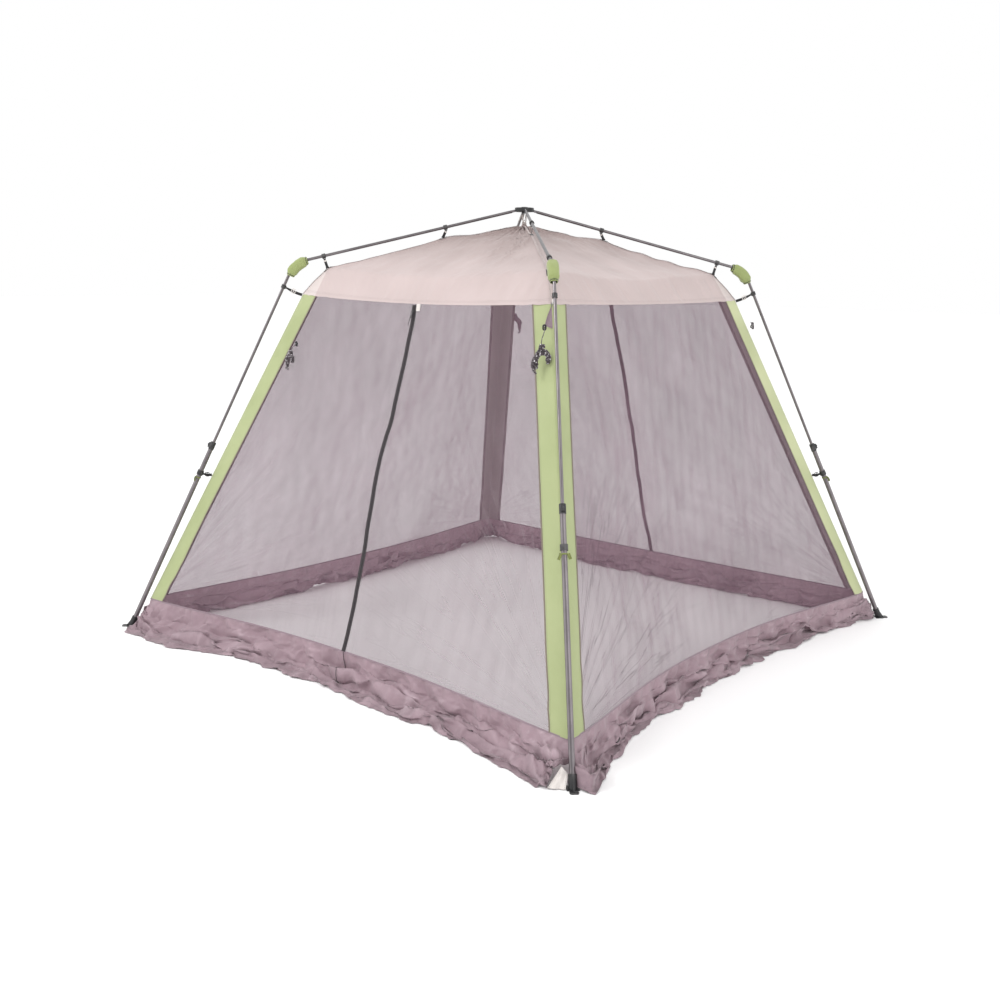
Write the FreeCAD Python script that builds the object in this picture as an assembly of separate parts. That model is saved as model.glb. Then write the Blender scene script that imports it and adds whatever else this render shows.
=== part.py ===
import FreeCAD, Part
import math
import os

# Instant pop-up screen house: a four-legged folding frame with a fabric roof,
# four screen walls and a ground skirt.
# Frame: +Z up, origin at ground level under the hub. Each arm (roof pole, knee,
# telescoping leg, foot) stands on a diagonal of the square plan.
# Arms are drawn in their own upright plane (x = outwards, z = up, y = across)
# and turned about Z to their corner. Walls are drawn facing -Y and turned likewise.
# Sizes are in millimetres, angles in degrees.

Vector = FreeCAD.Vector
X_AXIS = Vector(1, 0, 0)
ACROSS = Vector(0, 1, 0)
UP = Vector(0, 0, 1)

# ---------------------------------------------------------------- driving sizes
HALF_BASE = 1524.0          # foot centre, half of the square base
HUB_Z = 2292.5              # hub centre height
HUB_R = 51.0
HUB_H = 22.0
HINGE_X = 38.0              # roof pole hinge, out from the hub's axis
HINGE_Z = 2289.3
KNEE_X = 1220.5             # where pole axis and leg axis cross
KNEE_Z = 1994.5
ROOF_DROP = 14.0            # roof pole slope below level
POLE_BELOW = 16.0           # knee pin below the pole's axis
LEG_INSIDE = 24.0           # knee pin inside the leg's axis
PIN_R = 3.0                 # hinge pins and knee pins
PIN_GAP = 0.05              # running clearance
POLE_R = 7.6                # roof pole and inner leg tube
POLE_WALL = 1.0
LOWER_R = 12.5              # outer leg tube
LOWER_WALL = 1.4
ROOF_CLIP_FROM = 39.0       # roof clip stations start this far inside the hinge
OUTER_ROOF_CLIP = 1098.0    # outer roof clip's station along the pole
UPPER_LEG_CLIP = 137.0      # wall clips, from the knee along the leg
LOWER_LEG_CLIP = 1245.0
COLLAR_TOP = 1062.0         # collar of the outer tube, from the knee
COLLAR_LEN = 42.0
COLLAR_R = 14.8
COLLAR_LIP = 12.0           # part of the collar above the outer tube
TUBE_OVERLAP = 150.0        # how far the inner tube's end lies beyond the collar's top
LEG_STOP = 14.0             # outer tube's end, short of the foot centre
EAVE = 832.0                # eave corner, half of the square
EAVE_Z = 1831.0
MESH_LOW = 1445.0           # lower corner of the screen walls
MESH_LOW_Z = 156.0
HEM = 1500.0                # skirt's corner on the ground
HEM_Z = 4.0
STRIP_W = 100.0             # strip along each corner, width on each wall
FABRIC_T = 0.6
ROOF_T = 0.8

# turn: from facing -Y; bow: inward bow of the lower edge at mid span;
# sag: drop of the upper edge at mid span; hem_bow: inward bow of the skirt's hem
# at mid span; flare: scale of the hem's outward flare near the corners
WALLS = {
    "front_left":  {"turn": 0.0,   "bow": 118.0, "sag": 24.0, "hem_bow": 5.0,   "flare": 110.0},
    "front_right": {"turn": 90.0,  "bow": 160.0, "sag": 10.0, "hem_bow": 125.0, "flare": 120.0},
    "back_right":  {"turn": 180.0, "bow": 25.0,  "sag": 14.0, "hem_bow": 128.0, "flare": 60.0},
    "back_left":   {"turn": 270.0, "bow": 105.0, "sag": 14.0, "hem_bow": 88.0,  "flare": 60.0},
}
DOOR_WALLS = {"front": "front_left", "back": "back_right"}
PLAIN_WALLS = ("front_right", "back_left")

# angle: the arm's turn; inner_clip: station of its inner roof clip;
# walls: the wall whose +x end meets the corner, then the one whose -x end does
CORNERS = {
    "front": {"angle": -45.0,  "inner_clip": 365.0, "walls": ("front_left", "front_right")},
    "right": {"angle": 45.0,   "inner_clip": 434.0, "walls": ("front_right", "back_right")},
    "back":  {"angle": 135.0,  "inner_clip": 434.0, "walls": ("back_right", "back_left")},
    "left":  {"angle": -135.0, "inner_clip": 434.0, "walls": ("back_left", "front_left")},
}


# ---------------------------------------------------------------- arm geometry
def meet(point_a, dir_a, point_b, dir_b):
    # where two lines in the arm's plane cross
    det = dir_a.x * dir_b.z - dir_a.z * dir_b.x
    gap = point_b - point_a
    return point_a + dir_a * ((gap.x * dir_b.z - gap.z * dir_b.x) / det)


slope = math.radians(ROOF_DROP)
POLE_DIR = Vector(math.cos(slope), 0, -math.sin(slope))    # along the pole, outwards
POLE_UP = Vector(math.sin(slope), 0, math.cos(slope))      # square to it, upwards
HINGE = Vector(HINGE_X, 0, HINGE_Z)
KNEE = Vector(KNEE_X, 0, KNEE_Z)
FOOT = Vector(HALF_BASE * math.sqrt(2), 0, 0)
LEG_LEN = (FOOT - KNEE).Length
LEG_DIR = (FOOT - KNEE).normalize()                        # down the leg
LEG_OUT = Vector(-LEG_DIR.z, 0, LEG_DIR.x)                 # square to it, outwards
POLE_FRAME = (POLE_DIR, POLE_UP)
LEG_FRAME = (LEG_DIR, LEG_OUT)

PIN = meet(KNEE - POLE_UP * POLE_BELOW, POLE_DIR, KNEE - LEG_OUT * LEG_INSIDE, LEG_DIR)
PIN_ON_POLE = (PIN - HINGE).dot(POLE_DIR)
PIN_ON_LEG = (PIN - KNEE).dot(LEG_DIR)


def on_leg(along, out=0.0):
    # along from the knee
    return KNEE + LEG_DIR * along + LEG_OUT * out


def on_pole(along):
    # along from the hinge
    return HINGE + POLE_DIR * along


# ---------------------------------------------------------------- solid helpers
def rod(start, direction, length, radius):
    return Part.makeCylinder(radius, length, start, direction)


def tube(start, direction, length, radius, bore):
    inside = rod(start - direction, direction, length + 2, bore)
    return rod(start, direction, length, radius).cut(inside)


def cross_rod(centre, radius, half):
    return rod(centre - ACROSS * half, ACROSS, 2 * half, radius)


def outline(origin, frame, pairs):
    # points at (first, second) distances along the frame's two directions
    return [origin + frame[0] * first + frame[1] * second for first, second in pairs]


def extruded(points, travel):
    return Part.Face(Part.makePolygon(points + [points[0]])).extrude(travel)


def prism(points, y_low, y_high):
    # a polygon in the arm's plane, from y_low to y_high
    return extruded([Vector(p.x, y_low, p.z) for p in points], ACROSS * (y_high - y_low))


def slab(points, half):
    return prism(points, -half, half)


def turned(shape, degrees):
    out = shape.copy()
    out.rotate(Vector(0, 0, 0), UP, degrees)
    return out


def turned_point(point, degrees):
    angle = math.radians(degrees)
    return Vector(point.x * math.cos(angle) - point.y * math.sin(angle),
                  point.x * math.sin(angle) + point.y * math.cos(angle), point.z)


def thicken(points, triangles, thickness):
    # closes a triangulated sheet into a solid, thickened on the side away from its normals
    normals = [Vector(0, 0, 0) for _ in points]
    for a, b, c in triangles:
        normal = (points[b] - points[a]).cross(points[c] - points[a])
        for i in (a, b, c):
            normals[i] = normals[i] + normal
    back = [p - normal.normalize() * thickness for p, normal in zip(points, normals)]
    count = len(points)
    faces = list(triangles) + [(c + count, b + count, a + count) for a, b, c in triangles]
    edges = {}
    for a, b, c in triangles:
        for edge in ((a, b), (b, c), (c, a)):
            edges[edge] = True
    # an edge with no opposite twin is on the rim
    for a, b in edges:
        if (b, a) not in edges:
            faces += [(b, a, a + count), (b, a + count, b + count)]
    shape = Part.Shape()
    shape.makeShapeFromMesh((points + back, faces), 0.001)
    solid = Part.makeSolid(Part.Shell(shape.Faces))
    if solid.Volume < 0:
        solid.reverse()
    return solid


def sheet(rows, thickness):
    # a solid sheet through equally long rows of points
    width = len(rows[0])
    triangles = []
    for i in range(len(rows) - 1):
        for j in range(width - 1):
            a = i * width + j
            b, c, d = a + 1, a + width + 1, a + width
            triangles += [(a, b, c), (a, c, d)]
    return thicken([p for row in rows for p in row], triangles, thickness)


# ---------------------------------------------------------------- roof pole
POLE_START = 30.0           # tube's hub end, from the hinge
POLE_SHORT = 10.0           # tube's outer end, short of the knee pin
TONGUE_HALF = 3.9           # half thickness of the hinge tongue
TONGUE_GAP = 0.2            # between tongue and each side of the hub's slot


def roof_pole():
    # steel tube with a flat hinge tongue in its hub end
    bore = POLE_R - POLE_WALL
    length = PIN_ON_POLE - POLE_SHORT - POLE_START
    pole = tube(on_pole(POLE_START), POLE_DIR, length, POLE_R, bore)
    plug = rod(on_pole(POLE_START), POLE_DIR, 26, bore + 0.2)
    tongue_side = outline(HINGE, POLE_FRAME, [(-4, 7), (36, 6.5), (36, -6.5), (-4, -5.5)])
    tongue = slab(tongue_side, TONGUE_HALF).fuse(cross_rod(HINGE, 7.5, TONGUE_HALF))
    pole = pole.fuse(plug).fuse(tongue).cut(cross_rod(HINGE, PIN_R + PIN_GAP, 20))
    return pole.removeSplitter()


# ---------------------------------------------------------------- clips
# ring: half length, radius, bore
# loop: half length at its root, then root and tip, from the tube's axis
SMALL_RING = (10.0, 12.4, POLE_R + 0.02)
SMALL_LOOP = (6.0, 10.5, 18.0)
LARGE_RING = (13.0, 17.0, LOWER_R + 0.02)
LARGE_LOOP = (7.0, 15.0, 21.0)
LOOP_TAPER = 1.0
LOOP_HALF_W = 5.0


def clip(centre, frame, ring, loop, hole_from_axis, hole_r):
    # ring round a tube with a short loop below the pole or inside the leg
    half, radius, bore = ring
    root_half, root, tip = loop
    tip_half = root_half - LOOP_TAPER
    band = tube(centre - frame[0] * half, frame[0], 2 * half, radius, bore)
    side = outline(centre, frame, [(-root_half, -root), (root_half, -root),
                                   (tip_half, -tip), (-tip_half, -tip)])
    hole = cross_rod(centre - frame[1] * hole_from_axis, hole_r, 8)
    return band.fuse(slab(side, LOOP_HALF_W).cut(hole)).removeSplitter()


def roof_clip_points(corner):
    stations = (CORNERS[corner]["inner_clip"], OUTER_ROOF_CLIP)
    return [on_pole(station - ROOF_CLIP_FROM) for station in stations]


def roof_clips(corner):
    return Part.makeCompound([clip(centre, POLE_FRAME, SMALL_RING, SMALL_LOOP, 14.6, 1.6)
                              for centre in roof_clip_points(corner)])


def upper_clip():
    return clip(on_leg(UPPER_LEG_CLIP), LEG_FRAME, SMALL_RING, SMALL_LOOP, 14.8, 1.5)


def lower_clip():
    return clip(on_leg(LOWER_LEG_CLIP), LEG_FRAME, LARGE_RING, LARGE_LOOP, 17.6, 1.5)


# ---------------------------------------------------------------- knee
SOCKET_R = 10.6
SOCKET_BORE = POLE_R + 0.01
CHEEK_IN = 6.3              # fork cheeks, from the arm's plane
CHEEK_OUT = 11.5
KNUCKLE_HALF = 6.0          # half thickness of the knuckle's tongue
PIN_HALF = 13.0             # half length of the knee pin
KNUCKLE_TOP = PIN_ON_LEG + 9.0      # knuckle socket's upper end, from the knee
KNUCKLE_LEN = 41.0
LEG_START = KNUCKLE_TOP + 6.0       # floor of the knuckle's bore


def knee_fork():
    # socket on the pole's end with two cheeks that carry the knee pin
    start, end = PIN_ON_POLE - 50, PIN_ON_POLE - 8
    fork = rod(on_pole(start), POLE_DIR, end - start, SOCKET_R)
    cheek_side = outline(PIN, POLE_FRAME, [(-27, 14), (-9, 26), (4, 8.5),
                                           (9.6, -2), (2, -9.6), (-8.5, -4)])
    for y_low, y_high in ((CHEEK_IN, CHEEK_OUT), (-CHEEK_OUT, -CHEEK_IN)):
        boss = rod(Vector(PIN.x, y_low, PIN.z), ACROSS, y_high - y_low, 10.0)
        fork = fork.fuse(prism(cheek_side, y_low, y_high).fuse(boss))
    bore_len = PIN_ON_POLE - POLE_SHORT - start + 1
    fork = fork.cut(rod(on_pole(start - 1), POLE_DIR, bore_len, SOCKET_BORE))
    fork = fork.cut(cross_rod(PIN, PIN_R, 30))
    # room for the knuckle between the cheeks
    fork = fork.cut(cross_rod(PIN, 12.5, CHEEK_IN))
    return fork.removeSplitter()


def knee_pin():
    # rivet with two flat heads
    head_from = CHEEK_OUT + PIN_GAP
    pin = cross_rod(PIN, PIN_R, PIN_HALF)
    for y_low in (head_from, -PIN_HALF):
        pin = pin.fuse(rod(Vector(PIN.x, y_low, PIN.z), ACROSS, PIN_HALF - head_from, 5.0))
    return pin.removeSplitter()


def knee_knuckle():
    # socket on the leg's top with a tongue between the cheeks
    socket = rod(on_leg(KNUCKLE_TOP), LEG_DIR, KNUCKLE_LEN, SOCKET_R)
    tongue_side = outline(PIN, LEG_FRAME, [(8, 22), (27, 22), (27, 13.5),
                                           (6, -6.5), (-6, -4), (-7, 5)])
    tongue = slab(tongue_side, KNUCKLE_HALF).fuse(cross_rod(PIN, 9.0, KNUCKLE_HALF))
    bore = rod(on_leg(LEG_START), LEG_DIR, KNUCKLE_LEN, SOCKET_BORE)
    knuckle = socket.fuse(tongue).cut(bore)
    return knuckle.cut(cross_rod(PIN, PIN_R + PIN_GAP, 30)).removeSplitter()


def cover_outline(gap, reach):
    # bent band round both axes, inset by gap, reaching this far from the knee
    above, below, inside = 17 - gap, 31 - gap, 42 - gap
    pole_end = KNEE - POLE_DIR * reach
    pole_top, pole_low = pole_end + POLE_UP * above, pole_end - POLE_UP * below
    leg_outer, leg_inner = on_leg(reach, above), on_leg(reach, -inside)
    return [pole_top, meet(pole_top, POLE_DIR, leg_outer, LEG_DIR), leg_outer,
            leg_inner, meet(pole_low, POLE_DIR, leg_inner, LEG_DIR), pole_low]


def knee_cover():
    # open-ended fabric sleeve over the knee
    half = 24
    inside = slab(cover_outline(FABRIC_T, 100), half - FABRIC_T)
    return slab(cover_outline(0, 70), half).cut(inside).removeSplitter()


# ---------------------------------------------------------------- leg
BUTTON_AT = COLLAR_TOP + 20.0       # lock button, from the knee
BUTTON_R = 5.0
BUTTON_BASE = 17.2          # from the leg's axis
BUTTON_LEN = 9.0
GUIDE_LEN = 30.0


def upper_leg():
    # inner tube with a guide plug at its lower end
    end = COLLAR_TOP + TUBE_OVERLAP
    inner = tube(on_leg(LEG_START), LEG_DIR, end - LEG_START, POLE_R, POLE_R - POLE_WALL)
    guide = tube(on_leg(end - GUIDE_LEN), LEG_DIR, GUIDE_LEN,
                 LOWER_R - LOWER_WALL - PIN_GAP, POLE_R - 0.4)
    return inner.fuse(guide).removeSplitter()


def lower_leg():
    # outer tube, hung from its collar
    start = COLLAR_TOP + COLLAR_LIP
    length = LEG_LEN - start - LEG_STOP
    return tube(on_leg(start), LEG_DIR, length, LOWER_R, LOWER_R - LOWER_WALL).removeSplitter()


def leg_collar():
    # clamps round the outer tube, runs on the inner tube, and houses the lock button
    top = on_leg(COLLAR_TOP)
    boss_side = outline(top, LEG_FRAME, [(4, 8), (36, 8), (33, 22), (8, 22)])
    collar = rod(top, LEG_DIR, COLLAR_LEN, COLLAR_R).fuse(slab(boss_side, 9))
    lip_bore = rod(on_leg(COLLAR_TOP - 1), LEG_DIR, COLLAR_LIP + 2, POLE_R + PIN_GAP)
    collar = collar.cut(lip_bore)
    collar = collar.cut(rod(on_leg(COLLAR_TOP + COLLAR_LIP), LEG_DIR, COLLAR_LEN, LOWER_R))
    collar = collar.cut(rod(on_leg(BUTTON_AT, 13.5), LEG_OUT, 20, BUTTON_R + 0.1))
    return collar.removeSplitter()


def lock_button():
    # round, in the collar's outward boss, with a rounded outer rim
    tip = on_leg(BUTTON_AT, BUTTON_BASE + BUTTON_LEN)
    button = rod(on_leg(BUTTON_AT, BUTTON_BASE), LEG_OUT, BUTTON_LEN, BUTTON_R)
    rim = [e for e in button.Edges if (e.CenterOfMass - tip).Length < 0.5]
    return button.makeFillet(1.2, rim)


# ---------------------------------------------------------------- foot
PLATE_T = 5.0
PLATE_IN = 24.0             # plate's reach inwards and outwards from the foot centre
PLATE_OUT = 18.0
PLATE_HALF_W = 26.0
EAR_IN = 14.0               # stake ear's ends, outwards from the foot centre
EAR_OUT = 50.0
EAR_HALF_W = 18.0
STAKE_R = 5.0
STAKE_OUT = 36.0            # stake hole, out from the foot centre


def foot():
    # boot on the outer tube over a flat plate with a stake ear
    boot = rod(on_leg(LEG_LEN - 58), LEG_DIR, 80, 17.5)
    plate = Part.makeBox(PLATE_IN + PLATE_OUT, 2 * PLATE_HALF_W, PLATE_T,
                         Vector(FOOT.x - PLATE_IN, -PLATE_HALF_W, 0))
    ear = Part.makeBox(EAR_OUT - EAR_IN, 2 * EAR_HALF_W, PLATE_T,
                       Vector(FOOT.x + EAR_IN, -EAR_HALF_W, 0))
    ear_corners = [e for e in ear.Edges
                   if abs(e.CenterOfMass.x - (FOOT.x + EAR_OUT)) < 0.1
                   and abs(e.CenterOfMass.z - PLATE_T / 2) < 0.1]
    ear = ear.makeFillet(10, ear_corners)
    rib_side = outline(FOOT, (X_AXIS, UP), [(12, PLATE_T), (26, PLATE_T), (4, 34), (-4, 34)])
    body = boot.fuse(plate).fuse(ear).fuse(slab(rib_side, 3))
    socket_from = 70
    body = body.cut(rod(on_leg(LEG_LEN - socket_from), LEG_DIR, socket_from - LEG_STOP, LOWER_R))
    # nothing below the ground
    body = body.cut(Part.makeBox(400, 400, 200, Vector(FOOT.x - 200, -200, -200)))
    body = body.cut(rod(Vector(FOOT.x + STAKE_OUT, 0, -1), UP, 60, STAKE_R))
    return body.removeSplitter()


# ---------------------------------------------------------------- hub
HUB_PIN_HALF = 14.0         # half length of the hinge pins


def hub_nodes():
    # round body, slotted for each roof pole's tongue, and the four hinge pins
    base = HUB_Z - HUB_H / 2
    slot_half = TONGUE_HALF + TONGUE_GAP
    body = Part.makeCylinder(HUB_R, HUB_H, Vector(0, 0, base))
    body = body.makeFillet(4.0, [e for e in body.Edges if e.Length > 200])
    # low cone on top, round boss below with a hole across it
    body = body.fuse(Part.makeCone(24, 14, 4, Vector(0, 0, base + HUB_H)))
    body = body.fuse(Part.makeCylinder(15, 8, Vector(0, 0, base - 8)))
    body = body.cut(rod(Vector(-30, 0, base - 4), X_AXIS, 60, 2.4))
    pins = []
    for corner in CORNERS.values():
        slot = Part.makeBox(60, 2 * slot_half, HUB_H + 30, Vector(22, -slot_half, base - 15))
        body = body.cut(turned(slot, corner["angle"]))
        pin = turned(cross_rod(HINGE, PIN_R, HUB_PIN_HALF), corner["angle"])
        body = body.cut(pin)
        pins.append(pin)
    return {"hub_body": body.removeSplitter(), "hub_pins": Part.makeCompound(pins)}


# ---------------------------------------------------------------- roof
PEAK_Z = 2206.0
ROOF_LIFT = 2.0             # sheet's top above the tabled height, but for the peak
SAG_FROM = 735.0            # ring half-size where the eave's sag begins
SIDE_STEPS = 8
# half-size of a square ring, roof height at its corners
RIDGE = [(0, PEAK_Z), (60, 2190), (170, 2157), (290, 2138), (380, 2099),
         (520, 2045), (610, 2012), (735, 1969), (790, 1903), (EAVE, 1833)]
# half-size of a square ring, how far its sides dip at mid span
SIDE_DIP = [(0, 0), (60, 2), (298, 12), (520, 22), (735, 30), (790, 24), (EAVE, 0)]


def interpolated(table, half):
    for (low, low_value), (high, high_value) in zip(table, table[1:]):
        if half <= high:
            return low_value + (high_value - low_value) * (half - low) / (high - low)


def roof_height(half, share):
    # on the square ring of this half-size; share 0 mid side, 1 at the corner
    return interpolated(RIDGE, half) - interpolated(SIDE_DIP, half) * (1 - share * share)


def roof_sheet():
    points = [Vector(0, 0, PEAK_Z)]
    rings = [half for half, height in RIDGE[1:]]
    for half in rings:
        sag_share = max(0.0, half - SAG_FROM) / (EAVE - SAG_FROM)
        for wall in WALLS.values():
            for i in range(SIDE_STEPS):
                x = -1 + 2 * i / SIDE_STEPS
                z = roof_height(half, abs(x)) - wall["sag"] * (1 - x * x) * sag_share
                point = Vector(half * x, -half, z + ROOF_LIFT)
                points.append(turned_point(point, wall["turn"]))
    count = SIDE_STEPS * len(WALLS)
    triangles = [(0, 1 + i, 1 + (i + 1) % count) for i in range(count)]
    for k in range(len(rings) - 1):
        for i in range(count):
            a, b = 1 + k * count + i, 1 + k * count + (i + 1) % count
            triangles += [(a, a + count, b + count), (a, b + count, b)]
    return thicken(points, triangles, ROOF_T)


def canopy():
    solids = [roof_sheet()]
    # four cords standing between the roof's peak and the hub
    for wall in WALLS.values():
        solids.append(turned(Part.makeCylinder(2.5, 59, Vector(9, 0, 2212)), wall["turn"]))
    # webbing from under each roof clip down towards the roof
    length, width = 14, 3
    for name, corner in CORNERS.items():
        for centre in roof_clip_points(name):
            top = centre - POLE_UP * 19.5
            z = roof_height(abs(centre.x) / math.sqrt(2), 1.0) + 6
            start = Vector(top.x - length / 2, -width / 2, z)
            solids.append(turned(Part.makeBox(length, width, top.z - z, start), corner["angle"]))
    return Part.makeCompound(solids)


# ---------------------------------------------------------------- walls and skirt
WALL_DROPS = [0.0, 0.3, 0.65, 1.0]      # rows of points, 0 at the eave, 1 at the lower edge
SKIRT_DROPS = [0.0, 0.5, 1.0]           # 0 at the skirt's upper edge, 1 at the hem
PANEL_GAP = 0.0006                      # between panel and strip, as a share of half width
SKIRT_REACH = 0.9985                    # skirt's ends, as a share of half width


def spread(reach, steps):
    # even shares from +reach to -reach
    return [reach - 2 * reach * i / steps for i in range(steps + 1)]


def wall_point(wall, share, drop):
    # share -1..1 across the wall, before turning
    sizes = WALLS[wall]
    bow = sizes["bow"] * max(0.0, 1 - abs(share) ** 2.5) ** 1.8
    top = Vector(EAVE * share, -EAVE, EAVE_Z - sizes["sag"] * (1 - share * share))
    low = Vector(MESH_LOW * share, -MESH_LOW + bow, MESH_LOW_Z)
    return top + (low - top) * drop


def skirt_point(wall, share, drop):
    sizes = WALLS[wall]
    top = wall_point(wall, share, 1.0) + Vector(0, 0, -2)
    edge = abs(share)
    out = HEM + sizes["flare"] * edge ** 3 * (1 - edge ** 14)
    low = Vector(HEM * share, -out + sizes["hem_bow"] * (1 - share * share), HEM_Z)
    return top + (low - top) * drop


def placed(point_on, wall, shares, drop):
    # a row of wall or skirt points, turned to the wall's side
    return [turned_point(point_on(wall, share, drop), WALLS[wall]["turn"]) for share in shares]


def strip_share(drop):
    # the strip's inner edge, as a share of the wall's half width at this height
    return 1 - STRIP_W / (EAVE + (MESH_LOW - EAVE) * drop)


def wall_panel(wall):
    rows = [placed(wall_point, wall, spread(strip_share(drop) - PANEL_GAP, 12), drop)
            for drop in WALL_DROPS]
    return sheet(rows, FABRIC_T)


def skirt_panel(wall):
    rows = [placed(skirt_point, wall, spread(SKIRT_REACH, 20), drop) for drop in SKIRT_DROPS]
    return sheet(rows, FABRIC_T)


def corner_strip(corner):
    # strip folded round the corner between two walls
    first, second = corner["walls"]
    rows = []
    for drop in WALL_DROPS:
        inner = strip_share(drop)
        middle = 1 - (1 - inner) / 2
        rows.append(placed(wall_point, second, (-inner, -middle), drop)
                    + placed(wall_point, first, (1, middle, inner), drop))
    return sheet(rows, FABRIC_T)


def corner_webbing(along, from_axis):
    # flat band from a leg clip in to the strip
    start = on_leg(along, -from_axis)
    z = min(start.z, EAVE_Z - 7)
    drop = (EAVE_Z - z) / (EAVE_Z - MESH_LOW_Z)
    end = Vector((EAVE + (MESH_LOW - EAVE) * drop) * math.sqrt(2) + 4, 0, z)
    run = end - start
    side = Vector(-run.z, 0, run.x).normalize() * 7.0
    return slab([start + side, end + side, end - side, start - side], 1)


def corner_strips():
    solids = []
    for corner in CORNERS.values():
        solids.append(corner_strip(corner))
        for along, from_axis in ((UPPER_LEG_CLIP, 19.5), (LOWER_LEG_CLIP, 24.0)):
            solids.append(turned(corner_webbing(along, from_axis), corner["angle"]))
    return Part.makeCompound(solids)


# ---------------------------------------------------------------- door zips
ZIP_HALF_W = 14.0
ZIP_T = 2.5
ZIP_OUT = 7.0               # band's outer face, out from the wall's middle line
SLIDER_OUT = 10.0


def zip_point(wall, drop, out):
    return wall_point(wall, 0.0, drop) - ACROSS * out


def door_zip(wall):
    # coil and tape over the middle of a door wall
    half = X_AXIS * ZIP_HALF_W
    middles = [zip_point(wall, drop, ZIP_OUT) for drop in (0.004, 1.0)]
    band = sheet([[middle + half, middle - half] for middle in middles], ZIP_T)
    return turned(band, WALLS[wall]["turn"])


def zip_slider(wall):
    # tapered body with a pull tab hanging down the wall
    top = zip_point(wall, 0.02, SLIDER_OUT)
    down = (zip_point(wall, 1.0, SLIDER_OUT) - top).normalize()
    out = -ACROSS - down * (-ACROSS).dot(down)
    out.normalize()

    def block(top_w, low_w, top_at, low_at, inner, outer):
        side = outline(top + out * (0.6 + inner), (down, X_AXIS),
                       [(top_at, -top_w / 2), (top_at, top_w / 2),
                        (low_at, low_w / 2), (low_at, -low_w / 2)])
        return extruded(side, out * (outer - inner))
    body = block(top_w=12, low_w=8, top_at=0, low_at=14, inner=0, outer=5)
    tab = block(top_w=7, low_w=9, top_at=9, low_at=40, inner=4.4, outer=6.4)
    return turned(body.fuse(tab).removeSplitter(), WALLS[wall]["turn"])


# ---------------------------------------------------------------- guy lines
# coil radius, bundle radius, centre, axis; the right corner's is a small hank
COILS = [
    (36, 9, Vector(850, -985, 1606), ACROSS),
    (18, 7, Vector(912, 902, 1690), X_AXIS),
    (36, 9, Vector(-850, 985, 1640), ACROSS),
    (36, 9, Vector(-775, -976, 1500), ACROSS),
]


def guy_lines():
    # a coil of line hanging outside each corner
    return Part.makeCompound([Part.makeTorus(*coil) for coil in COILS])


# ---------------------------------------------------------------- write
ARM_PARTS = (roof_pole, knee_fork, knee_pin, knee_knuckle, upper_leg, upper_clip,
             lower_leg, leg_collar, lock_button, lower_clip, foot)

nodes = {}
for build in ARM_PARTS:
    part = build()
    for name, corner in CORNERS.items():
        nodes[build.__name__ + "_" + name] = turned(part, corner["angle"])
for name, corner in CORNERS.items():
    nodes["roof_clips_" + name] = turned(roof_clips(name), corner["angle"])
nodes.update(hub_nodes())
nodes["canopy"] = canopy()
nodes["door_walls"] = Part.makeCompound([wall_panel(wall) for wall in DOOR_WALLS.values()])
nodes["plain_walls"] = Part.makeCompound([wall_panel(wall) for wall in PLAIN_WALLS])
nodes["corner_strips"] = corner_strips()
nodes["ground_skirt"] = Part.makeCompound([skirt_panel(wall) for wall in WALLS])
nodes["door_zips"] = Part.makeCompound([door_zip(wall) for wall in DOOR_WALLS.values()])
for end, wall in DOOR_WALLS.items():
    nodes["zip_slider_" + end] = zip_slider(wall)
nodes["guy_lines"] = guy_lines()
nodes["knee_covers"] = Part.makeCompound([turned(knee_cover(), corner["angle"])
                                          for corner in CORNERS.values()])

os.makedirs("parts", exist_ok=True)
for name, shape in nodes.items():
    shape.exportStep("parts/" + name + ".step")
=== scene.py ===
import math

import bpy
import numpy as np
from mathutils import Matrix, Vector


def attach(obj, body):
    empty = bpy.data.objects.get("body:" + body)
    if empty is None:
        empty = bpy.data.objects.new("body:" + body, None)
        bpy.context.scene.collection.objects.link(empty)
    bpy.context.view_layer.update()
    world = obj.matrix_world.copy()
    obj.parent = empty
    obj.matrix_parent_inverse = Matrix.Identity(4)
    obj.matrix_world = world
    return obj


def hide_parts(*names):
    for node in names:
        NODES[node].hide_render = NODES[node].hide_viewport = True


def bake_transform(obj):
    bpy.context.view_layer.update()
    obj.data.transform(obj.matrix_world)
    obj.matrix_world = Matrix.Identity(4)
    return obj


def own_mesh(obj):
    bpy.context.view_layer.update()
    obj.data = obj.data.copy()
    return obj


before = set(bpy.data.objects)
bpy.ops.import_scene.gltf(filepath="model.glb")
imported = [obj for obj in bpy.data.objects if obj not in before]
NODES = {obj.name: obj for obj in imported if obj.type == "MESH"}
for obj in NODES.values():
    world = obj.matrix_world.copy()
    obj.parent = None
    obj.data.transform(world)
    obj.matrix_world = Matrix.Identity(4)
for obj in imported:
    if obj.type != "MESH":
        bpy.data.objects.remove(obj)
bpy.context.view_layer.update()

SCENE = bpy.context.scene

# ------------------------------------------------------------------ the CAD's numbers, in metres
ORDER = ("front", "right", "back", "left")          # the arm at x = +1 of walls 0 to 3; x = -1 is the one before
ARM_DEG = {"front": -45.0, "right": 45.0, "back": 135.0, "left": -135.0}
WALL = [dict(turn=0, bow=.118, sag=.024), dict(turn=90, bow=.160, sag=.010),
        dict(turn=180, bow=.025, sag=.014), dict(turn=270, bow=.105, sag=.014)]
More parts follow.
